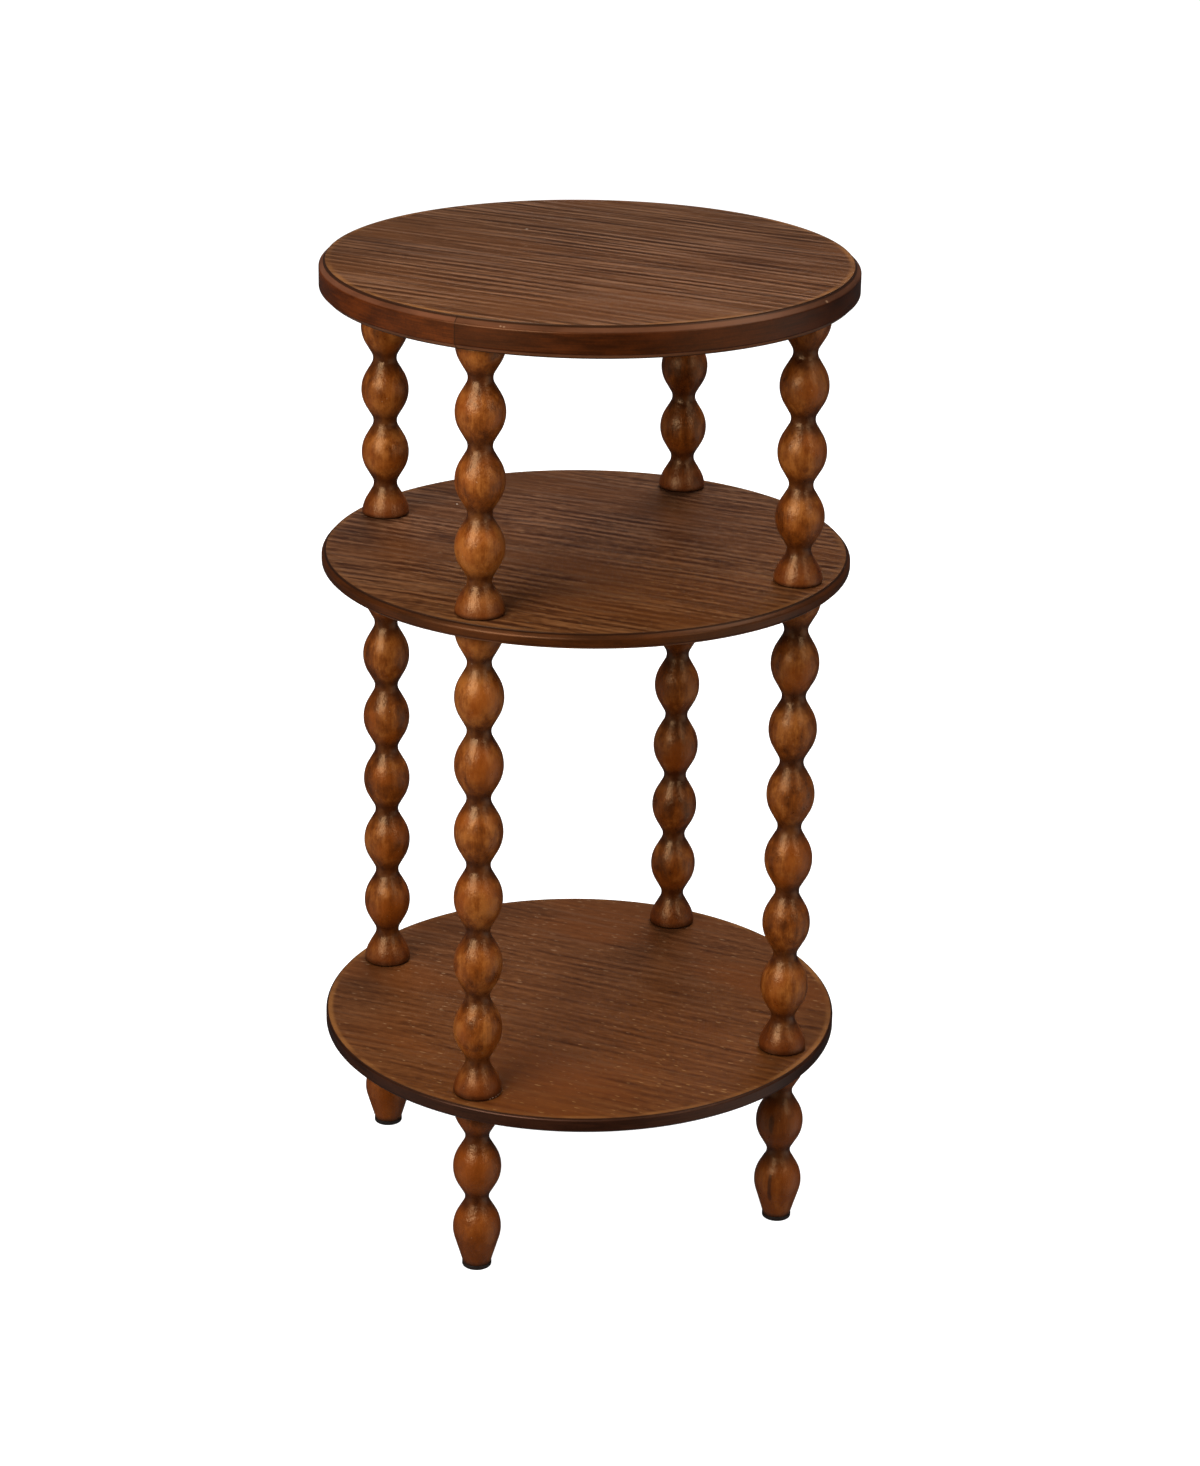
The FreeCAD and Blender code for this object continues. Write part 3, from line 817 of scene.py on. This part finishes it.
@dataclass(frozen=True)
class BeadLine:
    """The outline of turned beads: belly arcs and neck arcs joined by straight flanks."""

    pitch: float
    bead_radius: float = 16.0
    neck_radius: float = 8.0
    belly_arc_share: float = 0.68
    neck_arc_share: float = 0.22
    belly_steps: int = 8
    neck_steps: int = 9

    @property
    def amplitude(self) -> float:
        """How much a belly stands out from a neck."""
        return self.bead_radius - self.neck_radius

    @property
    def meeting(self) -> float:
        """The sum of the two arcs' radii at which they would just meet."""
        return (self.pitch**2 / 4 + self.amplitude**2) / (2 * self.amplitude)

    @property
    def belly_arc(self) -> float:
        """Radius of the belly arc."""
        return self.meeting * self.belly_arc_share

    @property
    def neck_arc(self) -> float:
        """Radius of the neck arc."""
        return self.meeting * self.neck_arc_share

    @property
    def flank(self) -> float:
        """Angle from upright of the straight flank, in radians."""
        arcs = self.belly_arc + self.neck_arc
        inward = arcs - self.amplitude
        upward = self.pitch / 2
        return math.atan2(upward, inward) - math.acos(arcs / math.hypot(inward, upward))

    @property
    def belly_centre(self) -> float:
        """Distance of a belly arc's centre from the axis."""
        return self.bead_radius - self.belly_arc

    def taper(self, end_radius: float, rise: float) -> float:
        """Angle below level, in radians, at which a taper leaves a belly that stands above its end."""
        inward = end_radius - self.bead_radius + self.belly_arc
        return math.atan2(rise, inward) - math.acos(self.belly_arc / math.hypot(inward, rise))

    def belly_spot(self, level: float, angle: float) -> Pair:
        """Distance from the axis and level of a point on a belly arc, at an angle above level in radians."""
        across = self.belly_centre + self.belly_arc * math.cos(angle)
        return across, level + self.belly_arc * math.sin(angle)

    def seat_radius(self, fillet: float) -> float:
        """Radius of the wood where the rounding at a seat ends."""
        return self.belly_spot(0.0, math.asin(fillet / self.belly_arc))[0]

    def draw(self, lathe: Lathe, level: float, beads: int, fillet: float) -> None:
        """Draw up from a belly past whole beads to the seat at the upper end.

        Args:
            lathe: the lathe, its last point on the first belly or at the end of its seat's rounding.
            level: level of the first belly; one at level zero is a seat.
            beads: number of whole beads between the end ones.
            fillet: radius of the rounding at a seat.
        """
        seat_angle = math.asin(fillet / self.belly_arc)
        start = 0.0 if level else seat_angle
        neck_centre = self.neck_radius + self.neck_arc
        flank_end = neck_centre - self.neck_arc * math.cos(self.flank)
        drop = self.neck_arc * math.sin(self.flank)
        for number in range(beads + 1):
            belly = level + self.pitch * number
            neck = belly + self.pitch / 2
            lathe.arc(self.belly_centre, belly, self.flank - start, self.belly_steps)
            lathe.line((flank_end, neck - drop))
            lathe.arc(neck_centre, neck, -2 * self.flank, self.neck_steps)
            lathe.line(self.belly_spot(belly + self.pitch, -self.flank))
            end = seat_angle if number == beads else 0.0
            lathe.arc(self.belly_centre, belly + self.pitch, self.flank - end, self.belly_steps)
            start = 0.0

    def hollow(self, radius: float) -> float:
        """How dark the pooled stain and painted shade are, from 0 on a belly to the full in a neck."""
        return NECK_SHADE * (self.bead_radius - radius) / self.amplitude


@dataclass(frozen=True)
class Bore:
    """A drilled hole on the axis, with a pointed end."""

    radius: float
    depth: float
    point_share: float = 0.6

    @property
    def tip(self) -> float:
        """Depth of its point."""
        return self.depth + self.radius * self.point_share


@dataclass(frozen=True)
class TurnedPiece(ABC):
    """A turned piece of a leg, with a seat at its upper end and a bore in both ends."""

    node: str
    level: float
    beads: BeadLine
    whole_beads: int
    upper_bore: Bore
    lower_bore: Bore
    seat_round: float = 1.2
    seat_steps: int = 4
    joint_fade: float = 0.6
    facets: int = 56
    first_belly: float = 0.0

    @property
    def length(self) -> float:
        """The piece's length."""
        return self.first_belly + self.beads.pitch * (self.whole_beads + 1)

    @property
    def seat_flat(self) -> float:
        """Radius of the flat of a seat."""
        return self.beads.seat_radius(self.seat_round) - self.seat_round

    @abstractmethod
    def draw_end(self, lathe: Lathe) -> None:
        """Draw the lower end, from the mouth of its bore to the first belly."""

    @abstractmethod
    def shade(self, radius: float, level: float) -> float:
        """How dark the pooled stain and painted shade are at a point, from 0 to 1."""

    def joint_shade(self, below_seat: float) -> float:
        """How dark the pooled stain and painted shade are in the joint at the upper seat, from 0 to 1."""
        return 1.0 - self.joint_fade * below_seat / self.seat_round

    def build(self, leg: Leg, material: Material) -> Object:
        """Turn the piece of one leg.

        Args:
            leg: the leg.
            material: its finish.

        Returns:
            The object.
        """
        low, high = self.lower_bore, self.upper_bore
        lathe = Lathe(0.0, low.tip)
        lathe.line((low.radius, low.depth), (low.radius, 0.0))
        self.draw_end(lathe)
        self.beads.draw(lathe, self.first_belly, self.whole_beads, self.seat_round)
        top = self.length
        lathe.arc(self.seat_flat, top - self.seat_round, QUARTER, self.seat_steps)
        lathe.line((high.radius, top), (high.radius, top - high.depth), (0.0, top - high.tip))
        bm = lathe.turn(self.facets)
        mark(bm, Mark.HOLLOW, self.shade)
        shift(bm, leg.place(self.level))
        node = f"{self.node}_{leg.label}"
        return finish_piece(bm, f"turned_{node}", material, node)


@dataclass(frozen=True)
class Spindle(TurnedPiece):
    """A spindle between two boards: half a bead, whole beads and half a bead."""

    low_end_dark_rise: float = 1.2
    low_end_dark_most: float = 1.3
    low_end_dark_fall: float = 0.9

    def draw_end(self, lathe: Lathe) -> None:
        """Draw the flat and the rounding of the lower seat."""
        lathe.line((self.seat_flat, 0.0))
        lathe.arc(self.seat_flat, self.seat_round, QUARTER, self.seat_steps)

    def shade(self, radius: float, level: float) -> float:
        """How dark the pooled stain and painted shade are at a point, from 0 to 1."""
        # Darker towards the lower seat: stain and painted shade where the spindle meets the board
        stain = self.low_end_dark_most - self.low_end_dark_fall * level / self.low_end_dark_rise
        return max(self.beads.hollow(radius), stain, self.joint_shade(self.length - level))


@dataclass(frozen=True)
class Foot(TurnedPiece):
    """A foot: half a bead, whole beads and a last bead that tapers to its glide."""

    first_belly: float = 25.4
    taper_shares: Spot = (0.35, 0.7, 1.0)
    end_radius: float = 9.5
    end_round: float = 0.5
    end_arc: float = 72.0
    low_end_dark_rise: float = 2.5

    def draw_end(self, lathe: Lathe) -> None:
        """Draw the rounded end and the taper.

        Args:
            lathe: the lathe, its last point at the mouth of the lower bore.
        """
        angle = self.beads.taper(self.end_radius, self.first_belly)
        across, level = self.beads.belly_spot(self.first_belly, -angle)
        inner = self.end_radius - self.end_round
        lathe.line((inner, 0.0))
        lathe.arc(inner, self.end_round, math.radians(self.end_arc), self.seat_steps)
        for share in self.taper_shares:
            out = self.end_radius + (across - self.end_radius) * share
            lathe.line((out, self.end_round + (level - self.end_round) * share))
        lathe.arc(self.beads.belly_centre, self.first_belly, angle, self.beads.belly_steps)

    def shade(self, radius: float, level: float) -> float:
        """How dark the pooled stain and painted shade are at a point, from 0 to 1."""
        above = max(self.beads.hollow(radius), self.joint_shade(self.length - level))
        # Darker towards the lower end: stain and painted shade where the foot meets its glide
        return above if level >= self.first_belly else 1.0 - level / self.low_end_dark_rise


@dataclass(frozen=True)
class Glide:
    """A hard plastic button under a foot, its lower rim rounded and its middle a little hollow."""

    node: str = "glide"
    radius: float = 9.8
    thickness: float = 3.0
    rounding: float = 1.0
    upper_rounding: float = 0.25
    hollow_radius: float = 6.0
    hollow_slope: float = 1.0
    hollow_depth: float = 0.4
    nail_radius: float = 1.15
    head_radius: float = 3.05
    head_levels: Pair = (1.2, 2.0)
    round_steps: int = 5
    upper_steps: int = 3
    facets: int = 56

    def build(self, leg: Leg, material: Material) -> Object:
        """Turn the glide of one leg.

        Args:
            leg: the leg.
            material: its finish.

        Returns:
            The object.
        """
        low, high = self.head_levels
        inner = self.radius - self.rounding
        above = self.thickness - self.upper_rounding
        lathe = Lathe(0.0, self.hollow_depth)
        lathe.line((self.hollow_radius - self.hollow_slope, self.hollow_depth), (self.hollow_radius, 0.0))
        lathe.line((inner, 0.0))
        lathe.arc(inner, self.rounding, QUARTER, self.round_steps)
        lathe.line((self.radius, above))
        lathe.arc(self.radius - self.upper_rounding, above, QUARTER, self.upper_steps)
        lathe.line((self.nail_radius, self.thickness), (self.nail_radius, high))
        lathe.line((self.head_radius, high), (self.head_radius, low), (0.0, low))
        bm = lathe.turn(self.facets)
        shift(bm, leg.place(0.0))
        node = f"{self.node}_{leg.label}"
        return finish_piece(bm, f"button_{node}", material, node)


@dataclass(frozen=True)
class Strip:
    """One bent strip of a board's edging."""

    node: str
    start: float
    sweep: float
    finish: Edging


@dataclass(frozen=True)
class Board:
    """A round board: a face veneer that laps over a bent edging, a core and a back veneer."""

    name: str
    level: float
    thickness: float
    shoulder: float
    bevel: float
    face: Veneer
    strips: tuple[Strip, ...]
    face_slot: str
    edging_slot: str
    radius: float = BOARD_RADIUS
    band_width: float = 5.0
    veneer_thickness: float = 0.6
    quirk: float = 0.3
    arris: float = 0.45
    veneer_arris: float = 0.18
    facets: int = 256

    @property
    def lap_level(self) -> float:
        """Level at which the face veneer lies on the edging."""
        return self.level + self.thickness - self.veneer_thickness

    def build_face(self) -> Object:
        """Lay the face veneer: a disc with a softened rim.

        Returns:
            The object.
        """
        bm = bmesh.new()
        radius = self.radius - self.shoulder - self.quirk
        bmesh.ops.create_circle(bm, cap_ends=True, cap_tris=False, segments=self.facets, radius=radius)
        disc = bm.faces[:] + bm.edges[:] + bm.verts[:]
        made = bmesh.ops.extrude_face_region(bm, geom=disc, use_keep_orig=True)
        lifted = [item for item in made["geom"] if isinstance(item, BMVert)]
        bmesh.ops.translate(bm, vec=(0.0, 0.0, self.veneer_thickness), verts=lifted)
        rim = [edge for edge in hoop_arrises(bm) if edge.verts[0].co.z > self.veneer_thickness / 2]
        soften(bm, rim, self.veneer_arris, segments=2)
        bmesh.ops.recalc_face_normals(bm, faces=bm.faces[:])
        shift(bm, (0.0, 0.0, self.lap_level))
        node = f"{self.name}_face_veneer"
        return finish_piece(bm, f"laid_{node}", self.face.make(), node)

    def build_strip(self, strip: Strip) -> Object:
        """Bend one strip of the edging round the board.

        Args:
            strip: the strip.

        Returns:
            The object.
        """
        inner = self.radius - self.band_width
        margin = 2 * self.arris
        lathe = Lathe(inner, self.level)
        lathe.side(self.radius - self.bevel, self.level, margin)
        lathe.side(self.radius, self.level + self.bevel, margin)
        lathe.side(self.radius, self.lap_level - self.shoulder, margin)
        lathe.side(self.radius - self.shoulder, self.lap_level, margin)
        lathe.line((inner, self.lap_level))
        lathe.close()
        facets = round(self.facets * strip.sweep / 360.0)
        bm = lathe.turn(facets, strip.start, strip.sweep)
        outer = [edge for edge in hoop_arrises(bm) if edge.verts[0].co.xy.length > inner + MERGE_DISTANCE]
        soften(bm, outer, self.arris)
        # Only the ends of a strip have more than four corners
        ends = [face for face in bm.faces if len(face.verts) > 4]
        bmesh.ops.triangulate(bm, faces=ends, quad_method="BEAUTY", ngon_method="BEAUTY")
        node = f"{self.name}_{strip.node}"
        return finish_piece(bm, f"bent_{node}", strip.finish.make(), node)

    def build(self) -> list[Object]:
        """Build the pieces that show."""
        return [self.build_face(), *(self.build_strip(strip) for strip in self.strips)]


def paint_nodes(nodes: Sequence[str], material: Material) -> None:
    """Give CAD nodes whose shape is right their finish.

    Args:
        nodes: the nodes.
        material: the finish.
    """
    for node in nodes:
        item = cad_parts[node]
        if not item.material_slots:
            item.data.materials.append(material)
        for slot in item.material_slots:
            slot.material = material
        log.info("%s: finish %s", node, material.name)


# The studio


def direction(azimuth: float, elevation: float) -> Vector:
    """The way that two angles in degrees point, one about Z from +X and one above level."""
    around, above = math.radians(azimuth), math.radians(elevation)
    return Vector((math.cos(above) * math.cos(around), math.cos(above) * math.sin(around), math.sin(above)))


@dataclass(frozen=True)
class Softbox:
    """A soft light that looks at a point."""

    name: str
    place: Spot
    size: Pair
    power: float
    aim: Spot = (0.0, 0.0, 0.4)
    mirrored: bool = True
    lights: bool = True

    def build(self) -> None:
        """Hang the light."""
        light = bpy.data.lights.new(self.name, "AREA")
        light.shape = "RECTANGLE"
        light.size, light.size_y = self.size
        light.energy = self.power
        lamp = add_object(self.name, light)
        lamp.location = self.place
        lamp.rotation_euler = (Vector(self.aim) - Vector(self.place)).to_track_quat("-Z", "Y").to_euler()
        lamp.visible_glossy = self.mirrored
        lamp.visible_diffuse = self.lights


@dataclass(frozen=True)
class Wall:
    """A pale part of the room, softly bounded, that the finishes mirror."""

    towards: Spot
    starts: float
    full: float
    strength: float

    def show(self, nodes: Nodes, view: NodeSocket) -> NodeSocket:
        """How bright the wall is in a direction."""
        share = nodes.vector("DOT_PRODUCT", view, Vector(self.towards).normalized()).outputs["Value"]
        return nodes.step(share, self.starts, self.full, 0.0, self.strength)


@dataclass(frozen=True)
class Sky:
    """A very soft light from far away, with a dim room round a white backdrop."""

    azimuth: float = 228.0
    elevation: float = 52.0
    spread: float = 70.0
    strength: float = 1.2
    room: float = 0.05
    backdrop: Colour = (1.0, 1.0, 1.0)
    walls: tuple[Wall, ...] = ()

    def build(self) -> None:
        """Light the room."""
        light = bpy.data.lights.new("soft_key", "SUN")
        light.energy = self.strength
        light.angle = math.radians(self.spread)
        lamp = add_object("soft_key", light)
        lamp.rotation_euler = (-direction(self.azimuth, self.elevation)).to_track_quat("-Z", "Y").to_euler()
        lamp.visible_glossy = False
        world = bpy.data.worlds.new("white_room")
        world.use_nodes = True
        nodes = Nodes(world.node_tree)
        view = nodes.add("ShaderNodeTexCoord").outputs["Generated"]
        rays = nodes.add("ShaderNodeLightPath").outputs
        seen: Feed = self.room
        for wall in self.walls:
            seen = nodes.plus(seen, nodes.times(rays["Is Glossy Ray"], wall.show(nodes, view)))
        colour = nodes.mix(rays["Is Camera Ray"], nodes.combine(seen, seen, seen), self.backdrop)
        nodes.feed(world.node_tree.nodes["Background"].inputs["Color"], colour)
        bpy.context.scene.world = world


@dataclass(frozen=True)
class Viewpoint:
    """The camera, where the photo was taken from."""

    azimuth: float = -109.948
    elevation: float = 18.326
    roll: float = 1.060
    distance: float = 2.3285
    aim: Spot = (0.02728, -0.0099, 0.45736)
    focal_pixels: float = 3511.4
    middle_pixel: Pair = (630.0, 550.0)
    frame_pixels: Pair = (1200.0, 1466.0)
    film: float = 36.0
    far: float = 200.0

    def build(self) -> None:
        """Set up the camera and make it the scene's."""
        wide, high = self.frame_pixels
        lens = bpy.data.cameras.new("photo_view")
        lens.sensor_fit = "AUTO"
        lens.sensor_width = self.film
        lens.lens = self.focal_pixels / high * self.film
        lens.shift_x = (wide / 2 - self.middle_pixel[0]) / high
        lens.shift_y = (self.middle_pixel[1] - high / 2) / high
        lens.clip_end = self.far
        azimuth, turn = math.radians(self.azimuth), math.radians(self.roll)
        back = direction(self.azimuth, self.elevation)
        level_right = Vector((-math.sin(azimuth), math.cos(azimuth), 0.0))
        level_up = back.cross(level_right)
        right = level_right * math.cos(turn) + level_up * math.sin(turn)
        up = level_up * math.cos(turn) - level_right * math.sin(turn)
        axes = Matrix((right, up, back)).transposed().to_4x4()
        camera = add_object("photo_view", lens)
        camera.matrix_world = Matrix.Translation(Vector(self.aim) + back * self.distance) @ axes
        bpy.context.scene.camera = camera


@dataclass(frozen=True)
class Floor:
    """A wide pale floor that looks white to the camera."""

    reach: float = 40.0
    facets: int = 96
    pale: Colour = (0.37, 0.37, 0.37)
    paler: Colour = (0.39, 0.39, 0.39)
    white: Colour = (1.0, 1.0, 1.0)
    roughness: float = 0.9
    gloss: float = 0.1
    glow: float = 1.0

    def make(self) -> Material:
        """Build the floor's material.

        Returns:
            The material.
        """
        b = Bench("pale_floor")
        where = b.space()
        b.colour = b.mix(b.noise(where, (900.0, 900.0, 900.0), 2.0), self.pale, self.paler)
        b.carve(b.noise(where, (3.0, 3.0, 3.0), 2.0), 0.02, 0.2)
        glow = b.times(b.add("ShaderNodeLightPath").outputs["Is Camera Ray"], self.glow)
        return b.finish(self.roughness, self.gloss, Emission_Color=self.white, Emission_Strength=glow)

    def build(self) -> None:
        """Lay the floor."""
        bm = bmesh.new()
        bmesh.ops.create_circle(bm, cap_ends=True, cap_tris=False, segments=self.facets, radius=self.reach)
        floor = mesh_object("floor", bm, self.make())
        floor.visible_glossy = False


# Sizes and finishes of this table

GLIDE = Glide()
UPPER_BEADS = BeadLine(pitch=43.7)
LOWER_BEADS = BeadLine(pitch=46.0)
FOOT_BEADS = BeadLine(pitch=44.6)
BOLT_BORE = Bore(radius=3.05, depth=26.0)
INSERT_BORE = Bore(radius=5.05, depth=14.5)
NAIL_BORE = Bore(radius=GLIDE.nail_radius, depth=16.0)

SHELF_THICKNESS = 10.0
TOP_THICKNESS = 21.0

FOOT = Foot("foot", GLIDE.thickness, FOOT_BEADS, 1, BOLT_BORE, NAIL_BORE)
BOTTOM_LEVEL = FOOT.level + FOOT.length
LOWER_SEAT = BOTTOM_LEVEL + SHELF_THICKNESS
LOWER_SPINDLE = Spindle("lower_spindle", LOWER_SEAT, LOWER_BEADS, 6, BOLT_BORE, INSERT_BORE, low_end_dark_rise=5.0)
MIDDLE_LEVEL = LOWER_SPINDLE.level + LOWER_SPINDLE.length
UPPER_SEAT = MIDDLE_LEVEL + SHELF_THICKNESS
UPPER_SPINDLE = Spindle("upper_spindle", UPPER_SEAT, UPPER_BEADS, 3, BOLT_BORE, INSERT_BORE, low_end_dark_rise=3.2)
TOP_LEVEL = UPPER_SPINDLE.level + UPPER_SPINDLE.length
# Angles in degrees of the butt joints in the top's edging: near the front left leg and opposite
FRONT_JOINT = -137.0
BACK_JOINT = 43.0

TOP_FACE = Veneer(
    "top_veneer",
    grain_angle=-46.0,
    rim_radius=171.1,
    dark=(0.0225, 0.0070, 0.0024),
    middle=(0.0690, 0.0257, 0.0092),
    light=(0.143, 0.0655, 0.031),
    warm=(0.079, 0.0262, 0.0066),
    streak=(0.126, 0.0645, 0.038),
    front_light_tint=(1.14, 1.07, 0.97),
    specks=((-14.2, 88.7, 655.4),),
)
MIDDLE_FACE = Veneer(
    "middle_shelf_veneer",
    grain_angle=-43.0,
    rim_radius=172.3,
    dark=(0.034, 0.011, 0.005),
    middle=(0.077, 0.0292, 0.0118),
    light=(0.145, 0.064, 0.030),
    warm=(0.090, 0.030, 0.009),
    streak=(0.115, 0.058, 0.034),
    streak_length=50.0,
    speckle=0.7,
    ribbon_share=0.17,
    contrast=1.15,
    fleck_share=0.4,
    front_light_tint=(1.02, 0.89, 0.60),
    specks=((-55.3, 112.2, 459.6),),
    golden=(0.130, 0.050, 0.014),
)
BOTTOM_FACE = Veneer(
    "bottom_shelf_veneer",
    grain_angle=-43.0,
    rim_radius=173.9,
    dark=(0.032, 0.0092, 0.0033),
    middle=(0.080, 0.027, 0.0084),
    light=(0.130, 0.050, 0.0185),
    warm=(0.101, 0.0285, 0.006),
    streak=(0.105, 0.044, 0.020),
    streak_length=50.0,
    speckle=0.7,
    ribbon_share=0.12,
    contrast=0.65,
    fleck_share=0.6,
    front_light_tint=(0.99, 0.86, 0.57),
)
BACK_FACE = Veneer(
    "back_veneer",
    grain_angle=-42.0,
    rim_radius=170.0,
    dark=(0.070, 0.030, 0.015),
    middle=(0.120, 0.055, 0.030),
    light=(0.170, 0.085, 0.048),
    warm=(0.130, 0.052, 0.024),
    streak=(0.150, 0.080, 0.050),
    roughness=0.65,
)
RIGHT_EDGING = Edging(
    "top_right_edging",
    dark=(0.017, 0.0034, 0.0006),
    middle=(0.045, 0.0085, 0.0010),
    rubbed=(0.080, 0.026, 0.0115),
    quirk_radius=171.4,
    bevel_level=638.0,
    shoulder_level=651.3,
    joints=(FRONT_JOINT, BACK_JOINT),
    chips=((-102.8, -139.6, 652.0, 1.2), (-104.8, -138.6, 652.4, 0.8), (108.5, -135.6, 652.2, 1.5)),
)
LEFT_EDGING = replace(
    RIGHT_EDGING,
    name="top_left_edging",
    dark=(0.026, 0.0048, 0.0005),
    middle=(0.076, 0.0145, 0.0014),
    rubbed=(0.098, 0.028, 0.0095),
    shoulder_painted_light=(0.120, 0.044, 0.021),
    chips=(),
)
MIDDLE_EDGING = Edging(
    "middle_shelf_edging",
    dark=(0.020, 0.005, 0.001),
    middle=(0.046, 0.0108, 0.0016),
    rubbed=(0.075, 0.024, 0.010),
    quirk_radius=172.6,
    bevel_level=451.6,
    quirk_dark_width=0.7,
)
BOTTOM_EDGING = Edging(
    "bottom_shelf_edging",
    dark=(0.009, 0.0026, 0.0011),
    middle=(0.024, 0.0066, 0.0024),
    rubbed=(0.050, 0.017, 0.009),
    bevel_level=119.0,
    bevel_painted_light=(0.085, 0.034, 0.020),
    sheen_tone=(1.0, 0.50, 0.32),
)

TOP = Board(
    "top",
    TOP_LEVEL,
    TOP_THICKNESS,
    shoulder=3.6,
    bevel=3.8,
    face=TOP_FACE,
    strips=(
        Strip("right_edge_band", FRONT_JOINT, 180.0, RIGHT_EDGING),
        Strip("left_edge_band", BACK_JOINT, 180.0, LEFT_EDGING),
    ),
    face_slot="top_veneer",
    edging_slot="top_edging",
)
MIDDLE_SHELF = Board(
    "middle_shelf",
    MIDDLE_LEVEL,
    SHELF_THICKNESS,
    shoulder=2.4,
    bevel=2.2,
    face=MIDDLE_FACE,
    strips=(Strip("edge_band", FRONT_JOINT, 360.0, MIDDLE_EDGING),),
    face_slot="shelf_veneer",
    edging_slot="shelf_edging",
    arris=0.7,
)
BOTTOM_SHELF = Board(
    "bottom_shelf",
    BOTTOM_LEVEL,
    SHELF_THICKNESS,
    shoulder=0.8,
    bevel=1.6,
    face=BOTTOM_FACE,
    strips=(Strip("edge_band", FRONT_JOINT, 360.0, BOTTOM_EDGING),),
    face_slot="shelf_veneer",
    edging_slot="shelf_edging",
    arris=0.3,
)
BOARDS = (TOP, MIDDLE_SHELF, BOTTOM_SHELF)

CORE = Plain("raw_fibreboard", (0.30, 0.20, 0.11), (0.45, 0.32, 0.20), 1.4, 0.85, 0.05)
PLASTIC = Plain("black_plastic", (0.008, 0.005, 0.004), (0.019, 0.012, 0.009), 0.9, 0.5, 0.02, gloss=0.15)
ZINC = Plain("zinc_steel", (0.42, 0.42, 0.43), (0.60, 0.60, 0.61), 0.8, 0.38, 0.01, 1.0)
BRASS = Plain("insert_brass", (0.50, 0.36, 0.16), (0.68, 0.52, 0.26), 0.8, 0.34, 0.01, 1.0)

# Painted light and shade: how much lighter or darker the front left leg, the front right leg and the front
# left foot are, as light falls on them
LEG_PAINTED_LIGHT = (
    ((-107.5, -107.5, 300.0), (60.0, 60.0, 2000.0), 0.10),
    ((107.5, -107.5, 300.0), (60.0, 60.0, 2000.0), -0.03),
    ((-107.5, -107.5, 40.0), (80.0, 80.0, 120.0), -0.26),
)
AMBER_WOOD = Turned(
    leg_painted_light=LEG_PAINTED_LIGHT,
    seats=(LOWER_SEAT, UPPER_SEAT),
    stain_spots=(((97.4, -118.6, 27.0), (2.0, 2.0, 19.0)), ((97.0, -119.0, 78.0), (2.4, 2.4, 11.0))),
    residue_spots=(
        (-103.6, -123.0, 128.6),
        (-101.6, -122.3, 129.0),
        (-99.0, -121.0, 128.7),
        (-97.2, -119.7, 129.3),
        (-95.2, -117.6, 128.9),
    ),
)
# Pale parts of the room: below on the left and right, straight below, and overhead
WALLS = (
    Wall((-1.0, -0.09, -0.30), 0.70, 0.97, 0.35),
    Wall((0.77, -0.64, -0.30), 0.72, 0.97, 0.72),
    Wall((0.0, 0.0, -1.0), 0.75, 0.97, 0.12),
    Wall((0.0, 0.0, 1.0), 0.50, 0.85, 0.20),
)
LIGHTS = (
    Softbox("tall_key", (-1.09, -0.74, 1.18), (0.90, 1.0), 29.0),
    Softbox("faint_fill", (0.96, -1.98, 1.45), (0.4, 1.2), 10.0),
    Softbox("side_fill", (1.80, -1.26, 1.2), (1.2, 1.4), 8.0, mirrored=False),
    Softbox("back_top", (0.90, 1.38, 1.85), (1.4, 1.0), 66.0, mirrored=False),
    Softbox("right_sheen", (1.14, -0.46, 2.2), (1.0, 1.0), 12.0, (0.0, 0.0, 0.6), lights=False),
)

BOLTS_AND_NAILS = ("foot_hanger_bolts", "lower_hanger_bolts", "upper_hanger_bolts", "glide_nails")
INSERTS = ("lower_spindle_inserts", "upper_spindle_inserts", "top_inserts")


def dress_hidden_nodes() -> None:
    """Give the cores, back veneers and fasteners their finishes."""
    paint_nodes([f"{board.name}_core" for board in BOARDS], CORE.make())
    paint_nodes([f"{board.name}_back_veneer" for board in BOARDS], BACK_FACE.make())
    paint_nodes(BOLTS_AND_NAILS, ZINC.make())
    paint_nodes(INSERTS, BRASS.make())


def build_legs() -> list[Object]:
    """Build the glide, foot and spindles of each leg.

    Returns:
        The pieces.
    """
    wood = AMBER_WOOD.make()
    plastic = PLASTIC.make()
    pieces = []
    for leg in Leg:
        pieces.append(GLIDE.build(leg, plastic))
        pieces.extend(part.build(leg, wood) for part in (FOOT, LOWER_SPINDLE, UPPER_SPINDLE))
    return pieces


def light_studio() -> None:
    """Lay the floor, hang the lights and set up the camera."""
    Floor().build()
    Sky(walls=WALLS).build()
    for light in LIGHTS:
        light.build()
    Viewpoint().build()
    bpy.context.scene.view_settings.view_transform = "Standard"


def main() -> None:
    """Build the table and its studio."""
    logging.basicConfig(level=logging.INFO, format="%(message)s")
    dress_hidden_nodes()
    pieces = build_legs()
    for board in BOARDS:
        pieces.extend(board.build())
    light_studio()
    log.info("%d pieces", len(pieces))


if __name__ == "__main__":
    main()
